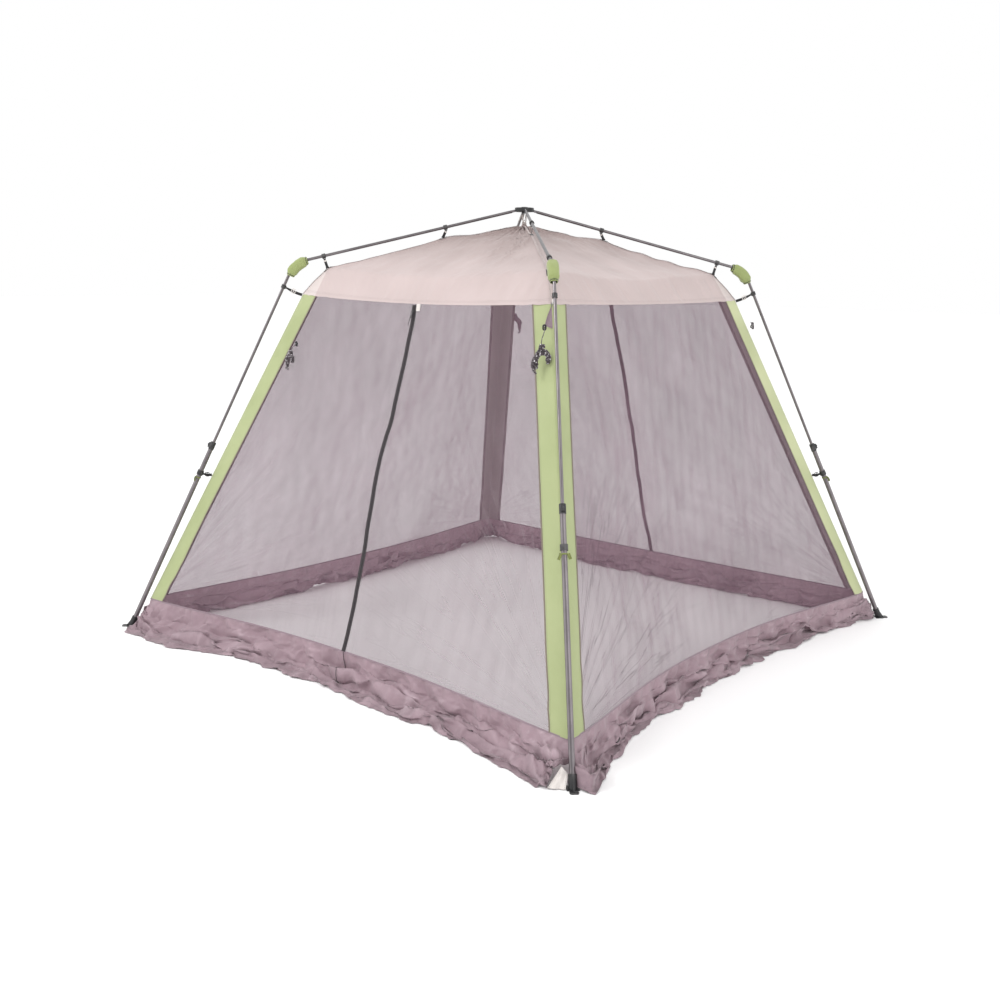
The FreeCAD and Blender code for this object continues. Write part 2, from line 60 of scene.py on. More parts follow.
# the skirt's edge on the ground: (share along the side, distance out)
HEM = [[(-1, 1.503), (-.955, 1.600), (-.9, 1.628), (-.8, 1.640), (-.576, 1.561), (-.277, 1.497), (.02, 1.495), (.267, 1.511), (.55, 1.531), (.811, 1.567), (.93, 1.612), (.965, 1.602), (1, 1.600)],
       [(-1, 1.500), (-.985, 1.590), (-.972, 1.628), (-.947, 1.609), (-.749, 1.508), (-.533, 1.409), (-.311, 1.403), (-.018, 1.378), (.415, 1.388), (.779, 1.463), (.953, 1.526), (1, 1.503)],
       [(-1, 1.503), (-.95, 1.540), (-.85, 1.501), (-.6, 1.431), (-.3, 1.385), (0, 1.372), (.3, 1.385), (.6, 1.431), (.85, 1.501), (.95, 1.540), (1, 1.503)],
       [(-1, 1.503), (-.95, 1.542), (-.85, 1.512), (-.6, 1.457), (-.3, 1.421), (0, 1.412), (.3, 1.421), (.6, 1.457), (.85, 1.512), (.95, 1.550), (1, 1.503)]]
EAVE, EAVE_Z, LOW, LOW_Z, STRIP_W = .832, 1.831, 1.445, .156, .100
DOWN = math.hypot(LOW - EAVE, EAVE_Z - LOW_Z)       # length of a wall down its slope
SPLIT = (EAVE_Z - .868) / (EAVE_Z - LOW_Z)          # walls part here, at the lower clips' height
HINGE, KNEE = np.array([.038, 0, 2.2893]), np.array([1.2205, 0, 1.9945])
_t = math.radians(14)
E, M = np.array([math.cos(_t), 0, -math.sin(_t)]), np.array([math.sin(_t), 0, math.cos(_t)])
L, N = np.array([.424374, 0, -.905487]), np.array([.905487, 0, .424374])
CLIP1 = {"front": .365, "right": .434, "back": .434, "left": .434}
CLIP2, LEG_CLIP1, LEG_CLIP2, SHOULDER = 1.098, .137, 1.245, .739
ACROSS = np.array([0, 1.0, 0])


def turned(p, deg):
    a = math.radians(deg)
    c, s = math.cos(a), math.sin(a)
    p = np.asarray(p, float)
    out = p.copy()
    out[..., 0] = p[..., 0] * c - p[..., 1] * s
    out[..., 1] = p[..., 0] * s + p[..., 1] * c
    return out


def arm(p, name):
    return turned(p, ARM_DEG[name])


def unit(v):
    v = np.asarray(v, float)
    return v / np.linalg.norm(v)


def smooth(t, a=0.0, b=1.0):
    t = np.clip((np.asarray(t, float) - a) / (b - a), 0, 1)
    return t * t * (3 - 2 * t)


def waves(p, seed, length, n=11, spread=.55):
    # smooth irregular swell of about -1..1: seeded plane waves about `length` metres long
    r = np.random.RandomState(seed)
    k = p.shape[-1]
    d = r.normal(size=(n, k))
    d /= np.linalg.norm(d, axis=1)[:, None]
    ln = length * np.exp(r.uniform(-spread, spread, n))
    ph = r.uniform(0, 2 * np.pi, n)
    return np.sin((p @ (d * (2 * np.pi / ln)[:, None]).T) + ph).sum(-1) / math.sqrt(n / 2) / 1.5


def creases(p, seed, length, n=5, warp=.35):
    # sharp-ridged crumple, 0..1
    r = np.random.RandomState(seed + 977)
    k = p.shape[-1]
    out = 0
    for m in range(n):
        d = r.normal(size=k)
        d /= np.linalg.norm(d)
        ln = length * math.exp(r.uniform(-.45, .45))
        a = p @ d * (math.pi / ln) + r.uniform(0, 6.28) + warp * 3 * waves(p, seed * 31 + m, length * 2.2, 7)
        out = out + (1 - np.abs(np.sin(a))) ** 1.6 * r.uniform(.6, 1.2)
    return out / n


def interp(table, q):
    # monotone cubic through a table of (x, y)
    x, y = np.array(table, float).T
    h, dl = np.diff(x), np.diff(y) / np.diff(x)
    m = np.zeros(len(x))
    m[0], m[-1] = dl[0], dl[-1]
    for i in range(1, len(x) - 1):
        if dl[i - 1] * dl[i] > 0:
            w1, w2 = 2 * h[i] + h[i - 1], h[i] + 2 * h[i - 1]
            m[i] = (w1 + w2) / (w1 / dl[i - 1] + w2 / dl[i])
    q = np.asarray(q, float)
    i = np.clip(np.searchsorted(x, q) - 1, 0, len(x) - 2)
    t = np.clip((q - x[i]) / h[i], 0, 1)
    return ((2 * t ** 3 - 3 * t ** 2 + 1) * y[i] + (t ** 3 - 2 * t ** 2 + t) * h[i] * m[i]
            + (3 * t ** 2 - 2 * t ** 3) * y[i + 1] + (t ** 3 - t ** 2) * h[i] * m[i + 1])


def bent(table, q, soft=.007):
    # straight between the table's points, with small rounds at them
    x, y = np.array(table, float).T
    q = np.asarray(q, float)
    return sum(np.interp(q + soft * k, x, y) for k in (-1, -.6, -.2, .2, .6, 1)) / 6


# ------------------------------------------------------------------ mesh helpers
def build(name, verts, faces, mat, uv=None, uv2=None, attrs=None, normals=None, flat=False):
    me = bpy.data.meshes.new(name)
    verts = np.asarray(verts, float).reshape(-1, 3)
    me.from_pydata(verts.tolist(), [], [tuple(int(i) for i in f) for f in faces])
    loops = np.zeros(len(me.loops), np.int32)
    me.loops.foreach_get("vertex_index", loops)
    for label, data in (("UVMap", uv), ("Second", uv2)):
        if data is not None:
            layer = me.uv_layers.new(name=label)
            layer.data.foreach_set("uv", np.asarray(data, np.float32).reshape(-1, 2)[loops].ravel())
    for key, data in (attrs or {}).items():
        a = me.attributes.new(key, "FLOAT", "POINT")
        a.data.foreach_set("value", np.asarray(data, np.float32).ravel())
    me.polygons.foreach_set("use_smooth", np.full(len(me.polygons), not flat))
    me.update()
    if normals is not None:
        me.normals_split_custom_set_from_vertices(np.asarray(normals, float).reshape(-1, 3).tolist())
    me.materials.append(mat)
    o = bpy.data.objects.new(name, me)
    SCENE.collection.objects.link(o)
    return o


def grid_faces(nr, nc, wrap=False, base=0):
    i, j = np.meshgrid(np.arange(nr - 1), np.arange(nc if wrap else nc - 1), indexing="ij")
    a = i * nc + j
    b = i * nc + (j + 1) % nc
    f = np.stack([a, b, b + nc, a + nc], -1).reshape(-1, 4) + base
    return f


def grid_normals(p, outward):
    # normals of a (rows, cols, 3) grid, turned to the side of `outward`
    n = np.cross(np.gradient(p, axis=1), np.gradient(p, axis=0))
    n /= np.maximum(np.linalg.norm(n, axis=-1, keepdims=True), 1e-12)
    s = np.sign((n * outward).sum(-1, keepdims=True))
    s[s == 0] = 1
    return n * s


def shell(name, p, n, t, mat, uv=None, attrs=None, **kw):
    # a closed sheet of thickness t from a grid of outer points and their outward normals
    nr, nc = p.shape[:2]
    f = grid_faces(nr, nc)
    a, b, c = p.reshape(-1, 3)[f[0, 0]], p.reshape(-1, 3)[f[0, 1]], p.reshape(-1, 3)[f[0, 2]]
    mid = f[len(f) // 2]
    q = p.reshape(-1, 3)
    if np.dot(np.cross(q[mid[1]] - q[mid[0]], q[mid[2]] - q[mid[0]]), n.reshape(-1, 3)[mid[0]]) < 0:
        f = f[:, ::-1]
        flip = True
    else:
        flip = False
    k = nr * nc
    rim = [i for i in range(nc)] + [i * nc + nc - 1 for i in range(1, nr)] + \
          [(nr - 1) * nc + j for j in range(nc - 2, -1, -1)] + [i * nc for i in range(nr - 2, 0, -1)]
    side = []
    for s in range(len(rim)):
        u, v = rim[s], rim[(s + 1) % len(rim)]
        side.append((v, u, u + k, v + k) if not flip else (u, v, v + k, u + k))
    faces = list(f) + list(f[:, ::-1] + k) + side
    pts = np.concatenate([q, q - n.reshape(-1, 3) * t])
    two = (lambda d: None if d is None else np.concatenate([np.asarray(d).reshape(k, -1)] * 2))
    side_of = np.concatenate([np.zeros(k), np.ones(k)])
    return build(name, pts, faces, mat, uv=two(uv), attrs={"inner": side_of, **{a: two(v) for a, v in (attrs or {}).items()}},
                 normals=np.concatenate([n.reshape(-1, 3), -n.reshape(-1, 3)]), **kw)


def frames_along(path, up):
    path = np.asarray(path, float)
    t = np.gradient(path, axis=0)
    t /= np.maximum(np.linalg.norm(t, axis=1, keepdims=True), 1e-12)
    side = np.zeros_like(t)
    prev = np.asarray(up, float)
    for i in range(len(path)):
        b = prev - np.dot(prev, t[i]) * t[i]
        if np.linalg.norm(b) < 1e-6:
            b = np.cross(t[i], [0.3, 0.5, 0.8])
        prev = b / np.linalg.norm(b)
        side[i] = prev
    return t, side, np.cross(t, side)


def pipe(name, path, radius, mat, sides=10, up=(0, 0, 1), squash=(1, 1), profile=None, twist=0.0, caps=True, attrs=None):
    # a closed tube along a path; radius may vary along it and profile(angle, share) round it
    path = np.asarray(path, float)
    n = len(path)
    _, a, b = frames_along(path, up)
    r = np.broadcast_to(np.asarray(radius, float), (n,))
    ds = np.concatenate([[0], np.cumsum(np.linalg.norm(np.diff(path, axis=0), axis=1))])
    th = np.arange(sides) / sides * 2 * np.pi
    rows, uvs = [], []
    for i in range(n):
        ang = th + twist * ds[i]
        rr = r[i] * (profile(th, ds[i] / max(ds[-1], 1e-9)) if profile else 1.0)
        rows.append(path[i] + (np.cos(ang) * rr * squash[0])[:, None] * a[i] + (np.sin(ang) * rr * squash[1])[:, None] * b[i])
        uvs.append(np.stack([th / (2 * np.pi), np.full(sides, ds[i])], -1))
    v, f = np.concatenate(rows), list(grid_faces(n, sides, wrap=True)[:, ::-1])
    uv = np.concatenate(uvs)
    if caps:
        f.append(list(range(sides)))
        f.append([(n - 1) * sides + k for k in range(sides - 1, -1, -1)])
    return build(name, v, f, mat, uv=uv, attrs=attrs)


def ribbon(name, path, side, width, thick, mat, crown=0.0, cols=5, flat=False):
    # a closed strap along a path: width along `side` (one vector or one per point), with a slight crown
    path = np.asarray(path, float)
    n = len(path)
    t = np.gradient(path, axis=0)
    t /= np.maximum(np.linalg.norm(t, axis=1, keepdims=True), 1e-12)
    s = np.broadcast_to(np.asarray(side, float), path.shape)
    s = s - (s * t).sum(1, keepdims=True) * t
    s = s / np.linalg.norm(s, axis=1, keepdims=True)
    up = np.cross(t, s)
    w = np.broadcast_to(np.asarray(width, float), (n,))
    c = np.linspace(-1, 1, cols)
    p = path[:, None] + s[:, None] * (c[None, :, None] * w[:, None, None] / 2) + up[:, None] * (thick / 2 + crown * (1 - c ** 2))[None, :, None]
    ds = np.concatenate([[0], np.cumsum(np.linalg.norm(np.diff(path, axis=0), axis=1))])
    uv = np.stack([np.broadcast_to(c[None, :] * w[:, None] / 2, (n, cols)), np.broadcast_to(ds[:, None], (n, cols))], -1)
    nn = np.broadcast_to(up[:, None], p.shape)
    return shell(name, p, nn, thick, mat, uv=uv, attrs={"edge": np.broadcast_to((1 - np.abs(c))[None, :] * w[:, None] / 2, (n, cols))})


def join(name, parts):
    # joins meshes that share a body into one piece
    bpy.context.view_layer.update()
    keep = parts[0]
    with bpy.context.temp_override(active_object=keep, selected_editable_objects=parts, object=keep, selected_objects=parts):
        bpy.ops.object.join()
    keep.name = name
    keep.data.name = name
    return keep


# ------------------------------------------------------------------ materials
def srgb(*c):
    return tuple(((x / 255 + .055) / 1.055) ** 2.4 if x / 255 > .04045 else x / 255 / 12.92 for x in c) + (1.0,)


class Mat:
    def __init__(self, name):
        self.m = bpy.data.materials.new(name)
        self.m.use_nodes = True
        self.t = self.m.node_tree
        self.t.nodes.clear()

    def __call__(self, kind, ins=None, **props):
        n = self.t.nodes.new("ShaderNode" + kind)
        for k, v in props.items():
            setattr(n, k, v)
        for k, v in (ins or {}).items():
            self.put(n, k, v)
        return n

    def put(self, n, k, v):
        s = n.inputs[k]
        if hasattr(v, "bl_idname") and hasattr(v, "outputs"):
            v = v.outputs[0]
        if isinstance(v, bpy.types.NodeSocket):
            self.t.links.new(v, s)
        else:
            s.default_value = v

    def math(self, op, a, b=0.0, c=None, clamp=False):
        n = self("Math", {0: a, 1: b}, operation=op, use_clamp=clamp)
        if c is not None:
            self.put(n, 2, c)
        return n.outputs[0]

    def mix(self, f, a, b, kind="MIX"):
        n = self("Mix", data_type="RGBA", blend_type=kind)
        self.put(n, 0, f)
        self.put(n, 6, a)
        self.put(n, 7, b)
        return n.outputs[2]

    def ramp(self, f, a, b, lo=0.0, hi=1.0):
        n = self("MapRange", {0: f, 1: a, 2: b, 3: lo, 4: hi})
        n.interpolation_type = "SMOOTHSTEP"
        return n.outputs[0]

    def uv(self, name="UVMap"):
        s = self("SeparateXYZ", {0: self("UVMap", uv_map=name)})
        return s.outputs[0], s.outputs[1]

    def vec(self, x, y, z=0.0):
        return self("CombineXYZ", {0: x, 1: y, 2: z}).outputs[0]

    def noise(self, scale, detail=3.0, rough=.55, vec=None, dist=0.0):
        ins = {"Scale": scale, "Detail": detail, "Roughness": rough, "Distortion": dist}
        n = self("TexNoise", ins)
        self.put(n, "Vector", vec if vec is not None else self("TexCoord").outputs["Object"])
        return n.outputs[0]

    def attr(self, name):
        return self("Attribute", attribute_name=name).outputs["Fac"]

    def weave(self, u, v, pitch):
        # plain weave: two crossing sets of rounded threads
        k = 2 * math.pi / pitch
        a = self.math("SINE", self.math("MULTIPLY", u, k))
        b = self.math("SINE", self.math("MULTIPLY", v, k))
        return self.math("MULTIPLY_ADD", self.math("MULTIPLY", a, b), .5, .5)

    def bump(self, h, strength, dist, after=None):
        n = self("Bump", {"Height": h, "Strength": strength, "Distance": dist})
        if after is not None:
            self.put(n, "Normal", after)
        return n.outputs[0]

    def out(self, shader):
        o = self("OutputMaterial")
        self.put(o, 0, shader)
        return self.m


def fabric(name, base, dark, pitch=.0012, rough=.75, sheen=.25, through=.0, cloud=.35, bump=.35, fine=.12, crinkle=.0, stitch=None, coat=0.0, painted_light_color=None, dirt=False, thread=.75, facet=None, lining=None):
    m = Mat(name)
    u, v = m.uv()
    big = m.noise(2.3, 4.0, .6)
    mid = m.noise(11.0, 5.0, .62)
    small = m.noise(420.0, 2.0, .5)
    slub = m.noise(1.0, 2.0, .5, vec=m.vec(m.math("MULTIPLY", u, 900.0), m.math("MULTIPLY", v, 25.0)))
    w = m.weave(u, v, pitch)
    col = m.mix(m.math("MULTIPLY", m.ramp(big, .3, .72), cloud), base, dark)
    col = m.mix(m.math("MULTIPLY", m.ramp(mid, .35, .7), cloud * .45), col, dark)
    col = m.mix(m.math("MULTIPLY", w, fine), col, dark)
    col = m.mix(m.math("MULTIPLY", m.ramp(slub, .45, .75), fine * .8), col, dark)
    # painted light: mixes towards the paler painted_light_color by the painted_light attribute
    if painted_light_color is not None:
        col = m.mix(m.attr("painted_light"), col, painted_light_color)
    if facet is not None:
        # painted light: pulled-flat triangles at the corners of the eave, from the outer strap down to the strip's
        # width, painted paler
        wide = m.math("MULTIPLY", m.math("SUBTRACT", v, .735), 1.03)
        inside = m.ramp(m.math("SUBTRACT", wide, m.math("SUBTRACT", v, m.math("ABSOLUTE", u))), -.003, .003)
        col = m.mix(m.math("MULTIPLY", m.math("MULTIPLY", inside, m.math("GREATER_THAN", v, .735)), m.attr("facet")), col, facet)
    if lining is not None:
        col = m.mix(m.attr("inner"), col, lining)
    if dirt:
        grime = m.math("MULTIPLY", m.attr("dirt"), m.ramp(m.noise(16.0, 6.0, .7), .35, .7))
        col = m.mix(grime, col, tuple(c * .62 for c in dark[:3]) + (1,))
    h = m.math("ADD", m.math("MULTIPLY", w, .35), m.math("MULTIPLY", small, .3))
    nrm = m.bump(h, bump, .0006)
    if crinkle:
        ck = m.noise(38.0, 5.0, .62, dist=.6)
        ck2 = m.noise(110.0, 3.0, .6, dist=.4)
        nrm = m.bump(m.math("MULTIPLY_ADD", ck2, .35, ck), crinkle, .006, nrm)
    if stitch:
        # a row of thread stitches at each distance from the edge
        e = m.attr("edge")
        rows = None
        for at in stitch:
            on = m.math("LESS_THAN", m.math("ABSOLUTE", m.math("SUBTRACT", e, at)), .0009)
            rows = on if rows is None else m.math("MAXIMUM", rows, on)
        dash = m.math("LESS_THAN", m.math("FRACT", m.math("MULTIPLY", m.math("ADD", u, v), 1 / .0048)), .62)
        rows = m.math("MULTIPLY", rows, dash)
        col = m.mix(m.math("MULTIPLY", rows, thread), col, tuple(c * .55 for c in dark[:3]) + (1,))
        nrm = m.bump(rows, .5, .0008, nrm)
    p = m("BsdfPrincipled", {"Base Color": col, "Roughness": m.math("MULTIPLY_ADD", mid, .16, rough - .08), "Normal": nrm,
                            "Sheen Weight": sheen, "Sheen Roughness": .45, "Specular IOR Level": .35, "Coat Weight": coat, "Coat Roughness": .35})
    sh = p
    if through:
        tr = m("BsdfTranslucent", {"Color": col, "Normal": nrm})
        sh = m("MixShader", {0: through, 1: p, 2: tr})
    return m.out(sh)


def netting(name, thread, shade, cover):
    # knitted no-see-um netting: fine threads over open holes, so it is partly clear and closes up at a glancing angle
    m = Mat(name)
    u, v = m.uv()
    ang, rad = m.uv("Second")
    k = 2 * math.pi / .0016
    a = m.math("SINE", m.math("MULTIPLY", m.math("ADD", u, m.math("MULTIPLY", v, .5)), k))
    b = m.math("SINE", m.math("MULTIPLY", m.math("SUBTRACT", m.math("MULTIPLY", v, .87), m.math("MULTIPLY", u, .0)), k))
    knit = m.math("MULTIPLY_ADD", m.math("MULTIPLY", a, b), .5, .5)
    # folds doubled on themselves: they fan out from the corners and hang from the top
    fan = m.noise(1.0, 3.0, .5, vec=m.vec(m.math("MULTIPLY", ang, 11.0), m.math("MULTIPLY", rad, .8), m.attr("side")))
    fan = m.math("SUBTRACT", 1.0, m.math("MULTIPLY", m.math("ABSOLUTE", m.math("SUBTRACT", fan, .5)), 52.0), clamp=True)
    fan = m.math("MULTIPLY", fan, m.math("MULTIPLY", m.ramp(rad, 1.8, .2), m.attr("fan")))
    hang = m.noise(1.0, 4.0, .55, vec=m.vec(m.math("MULTIPLY", u, 7.0), m.math("MULTIPLY", v, 1.3), m.attr("side")), dist=.5)
    hang = m.math("SUBTRACT", 1.0, m.math("MULTIPLY", m.math("ABSOLUTE", m.math("SUBTRACT", hang, .5)), 22.0), clamp=True)
    cloud = m.noise(2.2, 5.0, .6, vec=m("TexCoord").outputs["Object"])
    lines = m.math("MULTIPLY_ADD", hang, .10, fan, clamp=True)
    cos = m.math("ABSOLUTE", m("VectorMath", {0: m("NewGeometry").outputs["Incoming"], 1: m("NewGeometry").outputs["True Normal"]}, operation="DOT_PRODUCT").outputs["Value"])
    cos = m.math("MAXIMUM", cos, .18)
    base = m.math("ADD", cover, m.math("MULTIPLY", m.math("SUBTRACT", cloud, .5), .05))
    base = m.math("ADD", base, m.math("MULTIPLY", m.math("SUBTRACT", knit, .5), .22))
    open_ = m.math("SUBTRACT", 1.0, base, clamp=True)
    open_ = m.math("POWER", open_, m.math("ADD", m.math("MULTIPLY", m.math("DIVIDE", 1.0, cos), .55), .45))
    open_ = m.math("MULTIPLY", open_, m.math("SUBTRACT", 1.0, m.math("MULTIPLY", lines, .42)))
    alpha = m.math("SUBTRACT", 1.0, open_, clamp=True)
    # threads glow with the light they scatter, so the ground inside stays bright
    seen = m("LightPath").outputs["Is Camera Ray"]
    alpha = m.math("MULTIPLY", alpha, m.math("MULTIPLY_ADD", seen, .42, .58))
    col = m.mix(m.ramp(cloud, .3, .7), thread, shade)
    # fold lines painted dark as painted shade on most walls, and pale as a painted highlight on wall 0 (the 'pale'
    # attribute)
    fold_shade_and_highlight = m.mix(m.attr("pale"), srgb(74, 66, 70), srgb(196, 186, 190))
    col = m.mix(m.math("MULTIPLY", lines, .6), col, fold_shade_and_highlight)
    nrm = m.bump(knit, .3, .0004)
    d = m("BsdfDiffuse", {"Color": col, "Roughness": .6, "Normal": nrm})
    t = m("BsdfTranslucent", {"Color": col, "Normal": nrm})
    g = m("BsdfSheen", {"Color": (.35, .33, .34, 1), "Roughness": .5})
    solid = m("AddShader", {0: m("MixShader", {0: .42, 1: d, 2: t}), 1: m("MixShader", {0: .82, 1: g, 2: m("BsdfTransparent", {"Color": (0, 0, 0, 1)})})})
    return m.out(m("MixShader", {0: alpha, 1: m("BsdfTransparent"), 2: solid}))


def steel(name, leg):
    m = Mat(name)
    face = m("LayerWeight", {"Blend": .5}).outputs["Facing"]
    pos = m("TexCoord").outputs["Object"]
    streak = m.noise(260.0, 3.0, .6, vec=m("Mapping", {"Vector": pos, "Scale": (1, 1, .06)}).outputs[0])
    patch = m.noise(9.0, 5.0, .65)
    scuff = m.ramp(m.noise(70.0, 6.0, .75, dist=1.2), .60, .70)
    col = m.mix(m.ramp(patch, .35, .7), *((srgb(128, 121, 123), srgb(106, 99, 102)) if leg else (srgb(116, 110, 112), srgb(96, 90, 93))))
    if leg:
        # painted reflection: a narrow dark line down the middle between two pale painted highlights, then painted shade
        # darkening towards the edges
        col = m.mix(m.math("MULTIPLY", m.ramp(face, .09, .02), .45), col, srgb(66, 62, 64))
        col = m.mix(m.math("MULTIPLY", m.math("MULTIPLY", m.ramp(face, .10, .18), m.ramp(face, .42, .26)), .30), col, srgb(176, 169, 171))
        col = m.mix(m.math("MULTIPLY", m.ramp(face, .45, .8), .6), col, srgb(84, 79, 81))
    else:
        # painted shade: the pole darker towards its grazing edges
        col = m.mix(m.math("MULTIPLY", m.ramp(face, .22, .62), .7), col, srgb(70, 68, 71))
    col = m.mix(m.math("MULTIPLY", streak, .35), col, srgb(112, 110, 113))
    col = m.mix(m.math("MULTIPLY", scuff, .35), col, srgb(92, 89, 90))
    rough = m.math("ADD", m.math("MULTIPLY", streak, .18), m.math("MULTIPLY_ADD", scuff, .2, .24))
    nrm = m.bump(m.math("ADD", streak, m.math("MULTIPLY", scuff, -.5)), .12, .0004)
    return m.out(m("BsdfPrincipled", {"Base Color": col, "Metallic": .82, "Roughness": rough, "Normal": nrm, "Coat Weight": .15, "Coat Roughness": .3}))


def moulded(name, base, worn, rough=.42, metal=0.0, grain=900.0):
    m = Mat(name)
    g = m.noise(grain, 2.0, .5)
    patch = m.noise(30.0, 5.0, .6)
    scratch = m.ramp(m.noise(160.0, 6.0, .8, dist=2.0), .62, .70)
    point = m("NewGeometry").outputs["Pointiness"]
    edge = m.ramp(point, .52, .60)
    wear = m.math("MAXIMUM", m.math("MULTIPLY", edge, m.ramp(patch, .35, .65)), m.math("MULTIPLY", scratch, .4))
    col = m.mix(m.math("MULTIPLY", patch, .3), base, tuple(c * 1.8 + .004 for c in base[:3]) + (1,))
    col = m.mix(m.math("MULTIPLY", wear, .55), col, worn)
    nrm = m.bump(m.math("ADD", m.math("MULTIPLY", g, .6), m.math("MULTIPLY", scratch, -.3)), .3, .0003)
    return m.out(m("BsdfPrincipled", {"Base Color": col, "Metallic": metal, "Roughness": m.math("MULTIPLY_ADD", patch, .2, rough - .1), "Normal": nrm, "Specular IOR Level": .45}))


def corded(name, base, fleck, pitch=.006, amount=.5, rough=.6):
    # braided cord: crossing strands along its length with fleck threads
    m = Mat(name)
    u, v = m.uv()
    a = m.math("SINE", m.math("ADD", m.math("MULTIPLY", u, 4 * math.pi), m.math("MULTIPLY", v, 2 * math.pi / pitch)))
    b = m.math("SINE", m.math("SUBTRACT", m.math("MULTIPLY", u, 4 * math.pi), m.math("MULTIPLY", v, 2 * math.pi / pitch)))
    braid = m.math("MAXIMUM", a, b)
    f = m.math("MULTIPLY", m.ramp(m.math("MULTIPLY", a, b), .25, .6), m.ramp(m.noise(1.0, 2.0, .5, vec=m.vec(m.math("MULTIPLY", u, 3.0), m.math("MULTIPLY", v, 95.0))), .42, .55))
    col = m.mix(m.math("MULTIPLY", f, amount), base, fleck)
    # painted shade in the grooves between the strands
    col = m.mix(m.ramp(braid, .3, -.2), col, tuple(c * .45 for c in base[:3]) + (1,))
    return m.out(m("BsdfPrincipled", {"Base Color": col, "Roughness": rough, "Sheen Weight": .3, "Normal": m.bump(braid, .6, .0007)}))


ROOF = fabric("roof_cloth", srgb(174, 157, 154), srgb(150, 133, 131), .0013, .72, .25, .20, .38, .4, .10, crinkle=.12, stitch=(.012, .016), thread=.22, painted_light_color=srgb(205, 189, 187), facet=srgb(219, 208, 205))
SKIRT = fabric("skirt_cloth", srgb(185, 160, 169), srgb(153, 130, 139), .0011, .48, .35, .30, .38, .35, .10, crinkle=.55, stitch=(.010,), thread=.35, coat=.10, painted_light_color=srgb(208, 187, 195), dirt=True)
GREEN = fabric("strip_cloth", srgb(165, 175, 127), srgb(141, 152, 102), .0014, .70, .25, .12, .35, .4, .12, stitch=(.006,), thread=.35, painted_light_color=srgb(205, 210, 166), lining=srgb(158, 150, 149))
SLEEVE = fabric("cover_cloth", srgb(156, 166, 110), srgb(116, 130, 74), .0014, .72, .3, .05, .4, .5, .14, crinkle=.3, stitch=(.008,))
BIND = fabric("binding_tape", srgb(128, 118, 104), srgb(100, 92, 82), .0012, .8, .2, .0, .3, .6, .25)
SEAM = fabric("seam_tape", srgb(146, 128, 136), srgb(120, 103, 111), .0012, .8, .2, .0, .3, .6, .25)
# ridge seam painted paler than the roof cloth: painted light to offset the shade along its grazing edge
RIDGE = fabric("ridge_seam", srgb(200, 186, 183), srgb(178, 164, 162), .0012, .8, .2, .1, .3, .5, .2, stitch=(.003,))
TAPE = fabric("zip_tape_cloth", srgb(58, 51, 54), srgb(40, 35, 38), .0010, .8, .3, .0, .3, .6, .3, stitch=(.004,))
WEB = fabric("black_webbing", srgb(44, 42, 44), srgb(22, 21, 23), .0022, .75, .4, .0, .3, .9, .5, stitch=(.002,))
PALE = fabric("pale_tape", srgb(232, 226, 222), srgb(200, 192, 188), .0014, .8, .3, .15, .3, .5, .15, stitch=(.003,))
OLIVE = fabric("olive_ribbon", srgb(126, 134, 74), srgb(96, 104, 52), .0012, .75, .4, .0, .3, .6, .3, stitch=(.002,))
GUSSET = fabric("mauve_gusset", srgb(150, 128, 138), srgb(116, 96, 106), .0012, .7, .3, .1, .4, .5, .2, crinkle=.3, stitch=(.004,))
NET = netting("screen_netting", srgb(130, 105, 118), srgb(117, 94, 106), .405)
STEEL = steel("steel_pole_wear_and_painted_shade", False)
LEG = steel("steel_leg_wear_and_painted_reflection", True)
BLACK = moulded("black_moulded", (.012, .012, .013, 1), srgb(96, 94, 94))
BUTTON = moulded("button_moulded", (.035, .035, .037, 1), srgb(130, 128, 126), .38)
RIVET = moulded("rivet_steel", srgb(150, 150, 152), srgb(205, 205, 206), .35, .9, 500.0)
COIL = moulded("zip_coil", srgb(38, 35, 38), srgb(110, 106, 108), .4)
SLIDE = moulded("zip_slider_metal", srgb(60, 58, 60), srgb(150, 148, 148), .35, .6)
GUY = corded("guy_cord", srgb(52, 38, 46), srgb(250, 246, 248), .022, 1.0)
PALEHARD = moulded("pale_buckle_plastic", srgb(205, 200, 197), srgb(232, 230, 228), .45)
PEAK = corded("peak_cord", srgb(196, 186, 180), srgb(230, 224, 220), .005, .5)
DARKCORD = corded("dark_cord", srgb(54, 50, 52), srgb(120, 114, 116), .005, .4)

for node, o in NODES.items():
    kind = node.rsplit("_", 1)[0] if node.rsplit("_", 1)[-1] in ORDER else node
    pick = {"roof_pole": STEEL, "upper_leg": LEG, "lower_leg": LEG, "knee_pin": RIVET, "hub_pins": RIVET, "lock_button": BUTTON,
            "zip_slider": SLIDE}.get(kind, BLACK)
    o.data.materials.clear()
    o.data.materials.append(pick)


# ------------------------------------------------------------------ surfaces
def wall_flat(i, x, d, out=0.0):
    w = WALL[i]
    x, d = np.broadcast_arrays(np.asarray(x, float), np.asarray(d, float))
    bow = w["bow"] * np.maximum(0, 1 - np.abs(x) ** 2.5) ** 1.8
    top = np.stack([EAVE * x, np.full(x.shape, -EAVE) - out, EAVE_Z - w["sag"] * (1 - x * x)], -1)
    low = np.stack([LOW * x, -LOW + bow - out, np.full(x.shape, LOW_Z)], -1)
    return turned(top + (low - top) * d[..., None], w["turn"])


def wall_normal(i):
    return turned(unit([0, -(EAVE_Z - LOW_Z), LOW - EAVE]), WALL[i]["turn"])


def strip_share(d):
    return 1 - STRIP_W / (EAVE + (LOW - EAVE) * np.asarray(d, float))


FAN = {}
for _i in range(4):
    for _s in (-1, 1):
        _r = np.random.RandomState(40 + _i * 2 + (_s > 0))
        _at = np.cumsum(_r.uniform(.09, .19, 8)) + .02
        FAN[_i, _s] = [(a, _r.uniform(.3, .95), _r.uniform(.5, 1.2) * _r.choice([-1, 1])) for a in _at]


